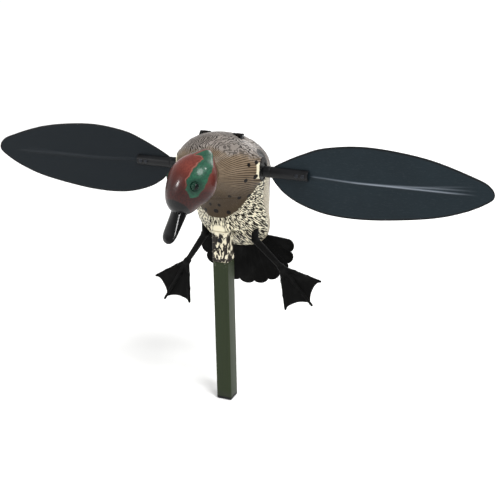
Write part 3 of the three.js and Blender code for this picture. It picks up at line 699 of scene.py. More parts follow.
def eye_paint():
    """A dark pupil between lids of the head's green."""
    paint = Paint("eye_paint", 0.2, specular=0.16)
    cloud = paint.noise(paint.place(), 0.4, 3)
    green = paint.mix(cloud, srgb(12, 36, 27), srgb(26, 58, 44))
    lids = paint.band(paint.value("slit"), -0.12, 0.12)
    paint.color(paint.mix(lids, srgb(4, 6, 6), green))
    paint.bump(cloud, 0.04)
    return paint


def wing_paint():
    """Matt slate with a woven-looking grain, painted highlight lines along the rib and a darker thin
    edge. The right wing is darker all over with painted shade."""
    paint = Paint("wing_paint", 0.48, specular=0.17)
    place = paint.place()
    cloud = paint.noise(place, 0.018, 4)
    grain = paint.noise(paint.place((0.25, 1, 1.2)), 1.0, 4, 0.6)
    slate = paint.mix(cloud, srgb(13, 24, 30), srgb(24, 37, 44))
    slate = paint.mix(paint.times(paint.band(grain, 0.5, 0.75), 0.35), slate, srgb(46, 54, 59))
    # Painted highlight: pale lines along the rib.
    slate = paint.mix(paint.times(paint.value("rib"), 0.9), slate, srgb(132, 140, 150))
    # Painted shade: the right wing is darker all over.
    slate = paint.mix(paint.value("shade"), slate, srgb(2, 11, 18))
    paint.color(paint.mix(paint.band(paint.value("edge"), 3.2, 0.6), slate, srgb(12, 15, 17)))
    paint.gloss(grain, 0.4, 0.6)
    paint.bump(grain, 0.06)
    return paint


def pole_paint():
    """Olive paint on drawn tube: faint lengthwise lines, chips near the top and a dull foot."""
    paint = Paint("pole_paint", 0.42, specular=0.2)
    place = paint.place()
    lines = paint.noise(paint.place((1.2, 1.2, 0.02)), 1.0, 3)
    olive = paint.mix(lines, srgb(25, 34, 14), srgb(38, 48, 24))
    height = paint.height()
    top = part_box("pole_tube")[1][2] / MM
    near_top = paint.band(height, top - 9, top)
    chips = paint.times(paint.band(paint.noise(place, 0.35, 5, 0.7), 0.6, 0.66), near_top)
    foot = paint.band(height, 12, 6)
    olive = paint.mix(foot, olive, srgb(36, 42, 28))
    paint.color(paint.mix(chips, olive, srgb(150, 150, 140)))
    paint.bump(paint.noise(place, 0.5, 2), 0.08)
    return paint


def stem_paint():
    """Cream plastic with generic dark mottling below the shoulder."""
    paint = Paint("stem_paint", 0.42, coat=0.1, specular=0.2)
    place = paint.place()
    blots = paint.noise(paint.place((0.9, 0.9, 0.4)), 0.3, 2, 0.5, 0.8)
    height = paint.height()
    top = AXLE.z / MM + STEM_SHOULDER
    low = paint.band(height, top - 1, top - 4)
    cream = paint.mix(paint.noise(place, 0.05, 3), srgb(200, 190, 160), srgb(232, 226, 206))
    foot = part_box("pole_tube")[1][2] / MM
    low = paint.times(low, paint.band(height, foot, foot + 1))
    dark = paint.times(paint.band(blots, 0.44, 0.48), low)
    paint.color(paint.mix(dark, cream, srgb(28, 22, 17)))
    paint.bump(paint.noise(place, 0.8, 3), 0.06)
    return paint


def rubber_paint(name, color):
    """Soft black rubber with dusty patches."""
    paint = Paint(name, 0.5, specular=0.06)
    place = paint.place()
    dust = paint.noise(place, 0.05, 5, 0.65)
    fine = paint.noise(place, 1.6, 3)
    paint.color(paint.mix(paint.band(dust, 0.45, 0.75), color, toned(color, 1.9, 0.004)))
    paint.gloss(dust, 0.4, 0.66)
    paint.bump(fine, 0.08)
    return paint


def sleeve_paint():
    """A cell's shrink sleeve, coloured with a dark band, and its bare metal end."""
    paint = Paint("cell_sleeve", 0.3, coat=0.4)
    place = paint.place()
    along = paint.value("along")
    band = paint.band(along, 33.0, 33.4)
    cloud = paint.noise(place, 0.08, 3)
    sleeve = paint.mix(cloud, srgb(52, 92, 112), srgb(70, 118, 140))
    color = paint.mix(band, sleeve, srgb(34, 36, 40))
    metal = paint.band(along, 48.6, 48.8)
    paint.color(paint.mix(metal, color, srgb(190, 190, 186)))
    paint.bump(cloud, 0.05)
    return paint


PAINTS = {
    "pole_paint": pole_paint(),
    "black_plastic": plain_paint("black_plastic", srgb(17, 18, 20), 0.42, spread=0.3, specular=0.2),
    "belly_cream": plumage("belly_cream"),
    "head_paint": head_paint(),
    "gloss_black": plain_paint("gloss_black", srgb(5, 5, 6), 0.14, 0.02, 0.5, specular=0.16),
    "eye_paint": eye_paint(),
    "soft_rubber": rubber_paint("soft_rubber", srgb(6, 6, 6)),
    "wing_paint": wing_paint(),
    "steel": wire_brushed("steel", srgb(170, 172, 174), 0.32, (0.3, 2.2, 2.2)),
    "brass": wire_brushed("brass", srgb(190, 160, 90), 0.35, (0.3, 2.2, 2.2)),
    "copper_winding": wire_brushed("copper_winding", srgb(178, 104, 62), 0.4, (3.0, 0.4, 0.4)),
    "cell_sleeve": sleeve_paint(),
    "lead_insulation": plain_paint("lead_insulation", srgb(150, 36, 30), 0.4),
    "stem_paint": stem_paint(),
    "dark_steel": wire_brushed("dark_steel", srgb(52, 54, 58), 0.4, (0.4, 1.6, 1.6)),
}
PAINTS = {name: paint.material for name, paint in PAINTS.items()}
PAINTS["back_brown"] = PAINTS["belly_cream"]


# ---- body ---------------------------------------------------------------------------------


def in_fan(points):
    """[radians round, radians out, millimetres off] about the fan's middle line."""
    x, ahead, up = np.moveaxis(turned_x(points, -FAN_TILT, FAN_AT), -1, 0)
    off = np.sqrt(x**2 + ahead**2 + up**2)
    out = np.arccos(np.clip(-ahead / np.maximum(off, 1e-6), -1, 1))
    return np.stack((np.arctan2(x, -up), out, off), -1)


def back_side(points):
    """How far a place lies above the line that parts the back from the flanks."""
    y, z = points[..., 1] - BACK_LINE["y"], points[..., 2] - BACK_LINE["z"]
    return y * BACK_LINE["normal"][0] + z * BACK_LINE["normal"][1]


def feather_scales(points):
    """0 at a feather's edge to 1 at its root, on rows of overlapping feathers down the back."""
    across, along, _ = np.moveaxis(in_hatch(points), -1, 0)
    along = along + np.abs(across) * 0.25
    best = np.zeros(along.shape)
    tall, wide = FEATHER["row"], FEATHER["column"]
    row = np.floor(along / tall)
    for shift in (1, 0):
        offset = ((row + shift) % 2) * wide / 2
        x = (across + offset + wide / 2) % wide - wide / 2
        down = along - (row + shift) * tall + tall * 0.55
        shape = 1 - np.hypot(x / (wide * 0.56), np.maximum(down, 0) / (tall * 1.35)) ** 2
        inside = (shape > 0) & (down > -tall)
        best = np.where((best == 0) & inside, np.clip(shape, 0.001, 1), best)
    return best


def on_scales(points):
    """1 where the back carries raised feathers."""
    local = in_hatch(points)
    return smoothstep(local[..., 1], 12, 20) * smoothstep(back_side(points), 2, 6)


def body_skin(points):
    """The body with raised feathers down its back."""
    plain = body(points)
    near = np.abs(plain) < 4
    lift = np.zeros(plain.shape)
    spot = points[near]
    lift[near] = FEATHER["lift"] * on_scales(spot) * (1 - feather_scales(spot)) ** 2
    return plain - lift


def boss_side(points):
    """Distance from the upright wall of the boss round each end of the axle."""
    _, y, z = np.moveaxis(points, -1, 0)
    return np.hypot(y, z - np.clip(z, BOSS["low"], BOSS["high"])) - BOSS["radius"]


def flank_boss(points):
    """The bosses that the flank discs lie in."""
    x = np.abs(points[..., 0])
    return meet(boss_side(points), np.maximum(x - BOSS["face"], 30 - x), 1.2)


def shell_wall(points):
    """The outer skin, the wall behind it with its screw posts, and how far back from the parting
    plane each point lies."""
    outer = join(body_skin(points), flank_boss(points), BOSS["blend"])
    wall = cut(outer, body(points) + WALL, 0.3)
    leaned = turned_x(points, PARTING_LEAN)
    for x, height in POSTS:
        post = rod(leaned, (x, -120, height), (x, 120, height), POST["radius"])
        wall = join(wall, meet(post, outer, 0.3), 1)
    return outer, wall, leaned[..., 1]


def flank_holes(field, points):
    """The field with a hole for each flank disc."""
    for _, sign in SIDES:
        hole = rod(points, (sign * 30, 0, 0), (sign * 80, 0, 0), FLANK_DISC + GAP)
        field = cut(field, hole, 0.6)
    return field


def hatch_prism(points, inset, swing):
    """The hatch's outline pushed through the shell. A swing sets its start back from the hinges."""
    local = in_hatch(points)
    start, end = HATCH["start"] + swing, HATCH["end"] - inset
    size = (2 * (HATCH["half_width"] - inset), end - start, 65)
    q = np.abs(local - np.array((0, (start + end) / 2, -7.5))) - np.array(size) / 2
    corner = HATCH["corner"]
    flat = np.hypot(np.maximum(q[..., 0] + corner, 0), np.maximum(q[..., 1] + corner, 0)) - corner
    inner = np.minimum(np.maximum(q[..., 0], q[..., 1]) + corner, 0)
    return np.maximum(flat + inner, q[..., 2])


def breast(points):
    """The front shell with its collar, leg sockets and the mouth that takes the stem."""
    outer, wall, behind = shell_wall(points)
    x, y, _ = LEG_ROOT
    for _, sign in SIDES:
        boss = rod(points, (sign * x, y, -110), (sign * x, y, -63), LEG_SOCKET["post"])
        wall = join(wall, meet(boss, outer, 0.5), 1)
    flare = cut(join(outer, neck(points, 17.2), 13), neck(points, 15), 0.3)
    flare = meet(flare, cuboid(points, (60, 60, 60), (0, COLLAR_Y + 30, 4), 1), 0.8)
    wall = join(wall, cut(flare, body(points) + WALL), 1.5)
    field = meet(wall, behind + GAP / 2, 0.3)
    block = cuboid(points, (POLE_SIDE + 1, POLE_SIDE + 1, 24), (0, 0, STEM_SHOULDER + 12), 1.6)
    boss = join(cut(block, body(points) + WALL), outer, 11)
    boss = meet(boss, cuboid(points, (46, 46, 44), (0, 0, STEM_SHOULDER + 22), 0.4), 0.4)
    field = join(field, cut(boss, body(points) + WALL), 1.5)
    field = cut(field, head(points) - GAP, 0.5)
    field = cut(field, cuboid(points, (16, 16, 90), (0, 0, -100)), 0.3)
    room = (POLE_SIDE + 0.6, POLE_SIDE + 0.6, 40)
    field = cut(field, cuboid(points, room, (0, 0, STEM_SHOULDER - 20)), 0.3)
    for _, sign in SIDES:
        top = (sign * x, y, LEG_SOCKET["top"])
        field = cut(field, rod(points, (sign * x, y, -120), top, LEG_SOCKET["bore"]), 0.6)
    return flank_holes(field, points)


def back(points):
    """The rear shell with the hatch's opening, the tail's slot and the places of its screws."""
    _, wall, behind = shell_wall(points)
    field = meet(wall, GAP / 2 - behind, 0.3)
    field = cut(field, hatch_prism(points, 0, 0), 0.8)
    field = cut(field, cuboid(points, (124, 3.6, 60), (0, TAIL_Y, -118)), 0.4)
    field = cut(field, cuboid(in_switch(points), (13.6, 19.6, 40), (0, 0, -10)), 0.5)
    local = in_hatch(points)
    leaned = turned_x(points, PARTING_LEAN)
    for _, sign in SIDES:
        field = cut(field, cuboid(local, (12.8, 7.6, 16), (sign * HINGE_X, 0, -2)), 0.6)
        x, z = sign * TAIL_BOLT["x"], TAIL_BOLT["z"]
        post = rod(points, (x, TAIL_Y + 4, z), (x, TAIL_BOLT["y"] - GAP, z), TAIL_BOLT["post"])
        field = join(field, cut(post, body(points) + WALL), 2)
        field = cut(field, rod(points, (x, 58, z), (x, 120, z), 1.6), 0.3)
    for x, height in POSTS:
        bore = rod(leaned, (x, POST["seat"], height), (x, 120, height), POST["bore"])
        field = cut(field, bore, 0.5)
    return flank_holes(field, points)


def hatch(points):
    """The hatch with its finger pull and two hinge arms."""
    outer = body_skin(points)
    wall = cut(outer, body(points) + WALL, 0.3)
    field = meet(wall, hatch_prism(points, GAP, HATCH["swing"]), 0.9)
    local = in_hatch(points)
    pull = cuboid(local, (18, 5, 3.4), (0, HATCH["end"] - 7, 15.4), 1.2)
    field = join(field, pull, 1.6)
    for _, sign in SIDES:
        arm = cuboid(local, (6.2, 7.5, 2.2), (sign * HINGE_X, 3.75, -1.3), 0.4)
        eye = rod(local, (sign * HINGE_X - 3.1, 0, 0), (sign * HINGE_X + 3.1, 0, 0), 2.6)
        bore = rod(local, (sign * HINGE_X - 9, 0, 0), (sign * HINGE_X + 9, 0, 0), 1.12)
        field = cut(join(field, join(arm, eye, 0.8), 0.8), bore, 0.2)
    return field


def dark_places(points):
    """Distance from the body's black places: the bosses' faces, an oval of painted shade behind each of
    them and the marks under the hinges."""
    x, y, z = points.T
    face = np.maximum(boss_side(points) + 0.5, BOSS["face"] - 1.1 - np.abs(x))
    # Painted shade: a dark oval behind each boss, standing in for a shaded hollow.
    pit_shade = np.hypot((y - PIT_SHADE["y"]) / PIT_SHADE["half_length"], (z - PIT_SHADE["z"]) / PIT_SHADE["half_height"])
    on_flank = (y > -2) & (np.abs(x) > 36)
    pit_shade = np.where(on_flank, (pit_shade - 1) * PIT_SHADE["half_length"], 9)
    across, along, out = np.abs(in_hatch(points)).T
    mark = np.maximum(along - HINGE_MARK["along"], np.abs(across - HINGE_X) - HINGE_MARK["half_width"])
    mark = np.maximum(mark, out - HINGE_MARK["depth"])
    return np.minimum(np.minimum(face, pit_shade), mark)


def paint_body(piece):
    """Stores what the plumage reads: where its patches, dots and bare places lie."""
    points = points_of(piece)
    fan = in_fan(points)
    x, y, z = points.T
    side = boss_side(points)
    scaled = on_scales(points)
    clear = smoothstep(np.hypot(x * 0.6, z - BARE["z"]), BARE["inner"], BARE["outer"])
    clear *= smoothstep(-body(points), 2.0, 1.2)
    lip = np.minimum(LIP["width"] - side, LIP["half_height"] - np.abs(z - LIP["middle"]))
    lip = np.minimum(lip, np.abs(x) - 38)
    add_values(
        piece,
        fan=fan * (1, 1, 0) * FAN_SCALE,
        bib=(math.radians(BIB_REACH) - fan[:, 1]) * fan[:, 2],
        dot=np.where(body(points) < -3.5, 9, dark_places(points)),
        back=back_side(points),
        crown=z + CROWN["slope"] * y - CROWN["height"],
        scaled=scaled,
        feather=np.where(scaled > 0, feather_scales(points) * scaled, 0.2),
        clear=clear,
        behind=turned_x(points, PARTING_LEAN)[:, 1],
        off=fan[:, 2] / FAN_SCALE,
        lip=np.where(y < 3, lip, -9),
    )


def build_body():
    """The two shells and the hatch, with what the plumage reads."""
    box = np.array([node_box("breast_shell"), node_box("back_shell")])
    low, high = box.min((0, 1)), box.max((0, 1))
    low[1] = COLLAR_Y
    low[0], high[0] = -BOSS["face"] - 1, BOSS["face"] + 1
    for name, field, reach, body_name, slot, node in (
        ("breast_visual", breast, (low, high), "decoy", "belly_cream", "breast_shell"),
        ("back_visual", back, (low, high), "decoy", "back_brown", "back_shell"),
        ("hatch_visual", hatch, HATCH_REACH, "hatch", "back_brown", "back_hatch"),
    ):
        paint_body(carved(name, field, *reach, BODY_STEP, body_name, slot, [node]))


# ---- switch -------------------------------------------------------------------------------


def switch_axes():
    """The switch stands square on the skin: its frame's origin, then its across, down and outward
    axes."""
    toward = np.array((0, 0.87, -0.5)) / np.linalg.norm((0.87, 0.5))
    centre = np.array((0, 20, -30.0))
    near, far = 0.0, 160.0
    for _ in range(40):
        middle = (near + far) / 2
        if body((centre + middle * toward)[None])[0] < 0:
            near = middle
        else:
            far = middle
    origin = centre + near * toward
    outward = slope(body, origin[None])[0]
    outward /= np.linalg.norm(outward)
    down = np.cross(outward, (1, 0, 0))
    down /= np.linalg.norm(down)
    return origin, np.stack((np.cross(down, outward), down, outward), 1)


SWITCH_AT, SWITCH_AXES = switch_axes()


def in_switch(points):
    return (points - SWITCH_AT) @ SWITCH_AXES


def switch_housing(points):
    p = in_switch(points)
    case = cuboid(p, (13, 19, 12), (0, 0, -4.5), 0.5)
    case = join(case, cuboid(p, (15.4, 21.4, 1.3), (0, 0, 1.0), 0.6), 0.6)
    return cut(case, cuboid(p, (9.2, 14.6, 20), (0, 0, 4.5), 0.8), 0.6)


def switch_key(points):
    """The rocker: two faces that meet in a shallow valley, with grip lines on the raised end."""
    p = in_switch(points)
    y, z = p[..., 1], p[..., 2] - 1.5
    up = np.where(y < 0, 0.6 - y * 1.6 / 6.3, 0.6 - y * 1.8 / 6.3)
    ridges = 0.16 * np.maximum(np.cos(y * 2 * math.pi / 1.3), 0) * (np.abs(y + 4) < 1.7)
    top = z - up - ridges
    return meet(cuboid(p, (8.6, 12.6, 7.4), (0, 0, 0.2), 0.5), top, 0.5)


def build_switch():
    """The switch's housing and its rocker."""
    reach = np.array((9, 14, 14))
    low, high = SWITCH_AT - reach, SWITCH_AT + reach
    black, rubber = "black_plastic", "soft_rubber"
    carved("switch_housing", switch_housing, low, high, 0.4, "decoy", black, ["switch_body"])
    carved("switch_key", switch_key, low, high, 0.35, "rocker", rubber, ["switch_rocker"])


# ---- hinges and screws --------------------------------------------------------------------


def hinge_field(sign):
    """A hinge's foot and its two ears."""

    def field(points):
        p = in_hatch(points) - np.array((sign * HINGE_X, 0, 0))
        shape = cuboid(p, (12, 6.6, 1.8), (0, 0, -6.2), 0.4)
        for side in (-1, 1):
            x = side * 4.7
            eye = rod(p, (x - 1.3, 0, 0), (x + 1.3, 0, 0), 2.6)
            ear = join(cuboid(p, (2.6, 5.2, 6.4), (x, 0, -3.2), 0.4), eye, 0.4)
            shape = join(shape, ear, 0.6)
        return cut(shape, rod(p, (-9, 0, 0), (9, 0, 0), 1.12), 0.2)

    return field


def screw_field(head_radius, head_depth, shank, length):
    """A pan-head screw along +Z, its head below the origin, with a cross recess."""
    def field(p):
        dome = egg(p, (0, 0, 0.4), (head_radius, head_radius, head_depth + 0.4))
        shape = meet(dome, rod(p, (0, 0, -head_depth), (0, 0, 0), head_radius, 0.3), 0.2)
        thread = 0.12 * np.sin(p[..., 2] * 2 * math.pi / 0.9 + np.arctan2(p[..., 1], p[..., 0]))
        shaft = capsule(p, (0, 0, 0), (0, 0, length - shank), shank - 0.1) - thread * 0.6
        shape = join(shape, shaft, 0.1)
        arm = head_radius * 1.15
        for size in ((arm, 0.75, 2.2), (0.75, arm, 2.2)):
            shape = cut(shape, cuboid(p, size, (0, 0, -head_depth - 0.25), 0.15), 0.15)
        return shape

    return field


def screw(name, head_radius, head_depth, shank, length, origin, axis, node, paint="steel"):
    points, faces = surface(
        screw_field(head_radius, head_depth, shank, length),
        (-head_radius, -head_radius, -head_depth),
        (head_radius, head_radius, length),
        0.25,
    )
    turn = Vector((0, 0, 1)).rotation_difference(Vector(axis)).to_matrix()
    places = points @ np.array(turn).T + np.array(origin, float)
    make(name, places, faces, "decoy", "steel", [node], paint)


def build_fasteners():
    """The hatch's hinges with their pins, and the screws of the tail, stem, shells and strap."""
    for name, sign in SIDES:
        centre = np.array(HATCH["hinge"]) + (sign * HINGE_X, 0, 0)
        low, high = centre - (7.5, 9, 9), centre + (7.5, 9, 6)
        replaced = [f"hatch_hinge_{name}"]
        carved(f"hinge_{name}", hinge_field(sign), low, high, 0.4, "decoy", "black_plastic", replaced)
        pin = rounded([(-6, 0), (-6, 1), (6, 1), (6, 0)], 0.3)
        points, faces = lathe(pin, (1, 0, 0), centre, 16)
        make(f"hinge_pin_{name}", points, faces, "decoy", "steel", [f"hatch_pin_{name}"])
        place = (sign * TAIL_BOLT["x"], TAIL_BOLT["y"], TAIL_BOLT["z"])
        screw(f"tail_bolt_{name}", 2.6, 1.6, 1.2, 12, place, (0, -1, 0), f"tail_screw_{name}")
    place = (0, -POLE_SIDE / 2 + 1.1, -84)
    screw("stem_bolt", 3.2, 1.2, 1.4, 14, place, (0, 1, 0), "stem_screw", "dark_steel")
    lean = math.radians(PARTING_LEAN)
    forward = (0, -math.cos(lean), -math.sin(lean))
    depth = POST["seat"] + GAP
    for index, (x, height) in enumerate(POSTS):
        y = depth * math.cos(lean) - height * math.sin(lean)
        z = depth * math.sin(lean) + height * math.cos(lean)
        node = f"shell_screw_{index + 1}"
        screw(f"shell_bolt_{index + 1}", 3.1, 2, 1.15, 17, (x, y, z), forward, node)
    for index, y in enumerate((-21.8, 21.8)):
        node = f"strap_screw_{index + 1}"
        screw(f"strap_bolt_{index + 1}", 2.7, 1.8, 1.3, 9, (0, y, 3 + GAP), (0, 0, -1), node)


# ---- head ---------------------------------------------------------------------------------

# The green patch on each side of the head, as (along, degrees up round the head).
PATCH = (
    (20, 8), (16.4, 0), (9.2, 3), (2.2, 3), (-6, 8), (-15.5, 8), (-33, 8), (-33, 77),
    (-20.4, 80), (-23.5, 56), (-20.3, 42), (-13.6, 44), (-4, 45), (9.5, 41), (16, 30),
)
ROUND = 0.4


def one_sided(local):
    """The points with those of the other side brought over, for what both sides have."""
    return local * np.where(local[..., :1] < 0, (-1, 1, 1), 1)


def eye_ring(local):
    """Distance from the rim of the nearer eye."""
    local = one_sided(local)
    centre = np.array(EYE["at"], float)
    axis = np.array(EYE["axis"]) / np.linalg.norm(EYE["axis"])
    along = (local - centre) @ axis
    off = np.linalg.norm(local - centre - along[..., None] * axis, axis=-1)
    return np.hypot(off - 3.7, along - 1.9)


def head_solid(points):
    """The head with cheeks, seats for the eyes and a socket for the bill."""
    field = head(points)
    local = in_head(points)
    field = join(field, egg(one_sided(local), (17, 4, -7), (9, 15, 12)), 6)
    for sign in (-1, 1):
        centre = np.array(EYE["at"]) * (sign, 1, 1)
        ball = np.linalg.norm(local - centre, axis=-1) - EYE["radius"] - GAP
        field = cut(field, ball, 0.5)
    field = join(field, eye_ring(local) - 0.55, 0.9)
    field = meet(field, points[..., 1] + 34, 0.5)
    field = cut(field, capsule(points, NECK["start"], (0, 0, 2), 10), 0.5)
    return cut(field, bill_core(local) - GAP, 0.5)


def bill_core(local):
    """A plain stand-in for the bill's root, so that the head closes round it."""
    start = (0, BILL["root"] + 6, BILL["root_drop"] - 1.5)
    end = (0, BILL["root"] + 26, BILL["root_drop"] - 9)
    squashed = local * (0.6, 1, 1)
    return capsule(squashed, start, end, 6)


def build_head():
    """The head, with what its paint reads."""
    low, high = node_box("head_shell")
    reach, slot = (low - 1, high + 1), "head_paint"
    piece = carved("head_visual", head_solid, *reach, HEAD_STEP, "decoy", slot, ["head_shell"])
    points = points_of(piece)
    local = in_head(points)
    up = np.degrees(np.arctan2(local[:, 2], np.abs(local[:, 0])))
    outline = np.array(PATCH) * (1, ROUND)
    patch = polygon_distance(local[:, 1], up * ROUND, outline) - 0.8
    # Painted shade: darker towards the bill and on the underside of the head.
    dark = 0.95 * smoothstep(local[:, 1], -8, 26) + 0.6 * smoothstep(local[:, 2], 10, -10)
    add_values(
        piece,
        patch=patch,
        buff=smoothstep(local[:, 2], 9, 14) * smoothstep(local[:, 1], 18, 8),
        dark=np.minimum(dark, 0.9),
        collar=points[:, 1] - COLLAR_Y + 5,
        lid=eye_ring(local),
        muzzle=local[:, 1] - MUZZLE["start"] - MUZZLE["slant"] * local[:, 0],
    )


def build_bill():
    """Drawn out along the head's forward axis into a flat spoon, with a parting between the two
    halves, a rim, two nostrils and a nail at the tip."""
    rows, columns = 88, 96
    along = (1 - np.cos(np.linspace(0, math.pi, rows))) / 2
    angle = np.linspace(0, 2 * math.pi, columns, endpoint=False)
    a, t = np.meshgrid(along, angle, indexing="ij")
    end = np.sqrt(np.maximum(0, 1 - np.abs(2 * a - 1) ** 5))
    width = (BILL["width"] + (BILL["spoon"] - BILL["width"]) * smoothstep(a, 0.4, 0.85)) * end
    depth = BILL["depth"] + (BILL["tip_depth"] - BILL["depth"]) * np.minimum(1, a * 1.2)
    depth = depth * end
    x, z = np.cos(t), np.sin(t)
    upper = z > 0
    z = np.where(upper, z, z * 0.82)
    parting = bell(z + 0.22, 0.09) * smoothstep(a, 0.02, 0.12) * smoothstep(a, 0.99, 0.93)
    culmen = 0.5 * bell(x, 0.3) * upper * smoothstep(a, 0.75, 0.1)
    rim = 0.35 * bell(z - 0.1, 0.16) * smoothstep(a, 0.2, 0.5)
    nail = 0.5 * bell(a - 0.94, 0.035) * bell(x, 0.35) * upper
    nostril = 1.1 * bell(a - 0.3, 0.035) * bell(np.abs(x) - 0.52, 0.13) * upper
    scale = 1 + (rim - parting * 0.75) / np.maximum(width, 1)
    lift = culmen + nail - nostril
    sag = BILL["root_drop"] + (BILL["drop"] - BILL["root_drop"]) * a**0.8
    forward = BILL["root"] + (BILL["tip"] - BILL["root"]) * a
    local = np.stack((x * width * scale, forward, sag + z * depth * scale + lift * end), -1)
    inner = local[1:-1].reshape(-1, 3)
    ends = local[[0, -1], 0]
    faces = [f[::-1] for f in capped_faces(rows - 2, columns)]
    points = out_of_head(np.concatenate((inner, ends)))
    make("bill_visual", points, faces, "decoy", "gloss_black", ["bill"])


def build_eyes():
    """Each eye is a ball with a slightly raised front."""
    radius = EYE["radius"]
    for name, sign in SIDES:
        centre = out_of_head(np.array(EYE["at"]) * (-sign, 1, 1))
        axis = HEAD_AXES @ (np.array(EYE["axis"]) * (-sign, 1, 1))
        profile = []
        for t in np.linspace(0, math.pi, 25):
            reach = radius * (1 + 0.05 * bell(t, 0.75) - 0.02 * bell(t - 0.95, 0.12))
            profile.append((math.cos(t) * reach, math.sin(t) * reach))
        profile[0], profile[-1] = (profile[0][0], 0), (profile[-1][0], 0)
        points, faces = lathe(profile[::-1], axis, centre, 40)
        node = f"eye_{name}"
        ball = make(f"eye_ball_{name}", points, faces, "decoy", "gloss_black", [node], "eye_paint")
        _, along, up = (in_head(points_of(ball)) - np.array(EYE["at"])).T
        add_values(ball, slit=np.hypot(along / 4.1, (up + 0.3 * along) / 2.6) - 1)


# ---- tail and legs ------------------------------------------------------------------------

TAIL = dict(z=-114, half_width=62, drop=51, feathers=11, spread=106, top=-88.3, tongue=22)


def build_tail():
    """A fan of overlapping feathers, each with a raised quill and fine barbs."""
    per = 16
    columns = TAIL["feathers"] * per + 1
    rows = 34
    share = np.linspace(-1, 1, columns)
    angle = np.radians(share * TAIL["spread"])
    index = (np.arange(columns) % per) / per
    bulge = 1 - 0.075 * (1 - np.sin(math.pi * index) ** 0.6)
    out = np.linspace(0, 1, rows)[:, None]
    edge_x = TAIL["half_width"] * bulge * np.sin(angle)
    edge_z = -TAIL["drop"] * bulge * np.cos(angle)
    root_x = np.sin(angle * 0.8) * TAIL["tongue"] * 0.8
    root_z = (TAIL["top"] - TAIL["z"]) * np.maximum(np.cos(angle * 0.4), 0) - 3
    x = root_x * (1 - out) + edge_x * out
    z = TAIL["z"] + root_z * (1 - out) + edge_z * out
    quill = bell(index - 0.5, 0.07) * smoothstep(out, 0.2, 0.35) * smoothstep(out, 0.98, 0.8)
    step = (1 - index) * 0.55 * smoothstep(out, 0.15, 0.5)
    barbs = 0.05 * np.sin(np.abs(index - 0.5) * 40 + out * 90) * smoothstep(out, 0.3, 0.5)
    thick = 1.25 - 0.65 * smoothstep(out, 0.75, 1.0)
    relief = 0.25 * quill + step * 0.6 + barbs
    front = np.stack((x, TAIL_Y - thick * 0.75 - relief, z), -1)
    rear = np.stack((x, TAIL_Y + thick * 0.75 + relief[:, ::-1], z), -1)
    points = np.concatenate((front.reshape(-1, 3), rear.reshape(-1, 3)))
    faces = slab_faces(rows, columns)
    make("tail_visual", points, faces, "decoy", "soft_rubber", ["tail_fan"], sharp=50)


LEG = dict(
    ankle=(59.3, 28.7, -125),
    tips=((103, 43.5, -147.4), (93.6, 34, -174.2), (62.6, 29.9, -178.7)),
    turn=dict(left=11.6, right=-17.2),
    splay=dict(left=-1.7, right=4.4),
)


def leg_point(point, name):
    """A point given for the left leg, turned in its socket, still on the left side."""
    root = np.array(LEG_ROOT)
    turn = Matrix.Rotation(math.radians(LEG["turn"][name]), 3, "Z")
    splay = Matrix.Rotation(math.radians(LEG["splay"][name]), 3, "Y")
    return root + np.array(splay @ turn @ Vector(np.array(point, float) - root))


def curve_between(a, b, hollow, count=8):
    """A stretch of the web's edge that bows in between two toes."""
    t = np.linspace(0, 1, count, endpoint=False)[:, None]
    return (1 - t) ** 2 * a + 2 * t * (1 - t) * hollow + t * t * b


def polygon_distance(x, y, corners):
    """Signed distance from a closed outline in a plane, negative inside."""
    best = np.full(x.shape, 1e9)
    inside = np.zeros(x.shape, bool)
    for (ax, ay), (bx, by) in zip(corners, np.roll(corners, -1, 0)):
        ex, ey = bx - ax, by - ay
        t = np.clip(((x - ax) * ex + (y - ay) * ey) / (ex * ex + ey * ey), 0, 1)
        best = np.minimum(best, np.hypot(x - ax - t * ex, y - ay - t * ey))
        crosses = (ay > y) != (by > y)
        inside ^= crosses & (x < ex * (y - ay) / (ey if ey else 1e-9) + ax)
    return np.where(inside, -best, best)


def toe(local, tip):
    """A toe from the origin to its tip, with knuckles, fine rings and a claw."""
    length = np.linalg.norm(tip)
    toward = tip / length
    run = local @ toward
    share = np.clip(run / length, 0, 1)
    off = np.linalg.norm(local - np.clip(run, 0, length)[..., None] * toward, axis=-1)
    knuckles = 0.45 * np.maximum(np.cos(share * 2 * math.pi * 3), 0) ** 2
    rings = 0.1 * np.cos(run * 2 * math.pi / 2.1)
    skin = off - (2.7 - 1.3 * share) - (knuckles + rings) * (share > 0.05) * (share < 0.97)
    return join(skin, capsule(local, tip * 0.93, tip + (0, 0, -0.6), 1.3, 0.45), 0.6)


def web_outline(flat):
    """The web's outline in its own plane: from the ankle to each tip, with bowed edges between."""
    edge = [np.zeros((1, 2))]
    for a, b in zip(flat, flat[1:]):
        edge.append(curve_between(a[:2], b[:2], (a[:2] + b[:2]) * 0.41))
    return np.concatenate(edge + [flat[2][None, :2]])


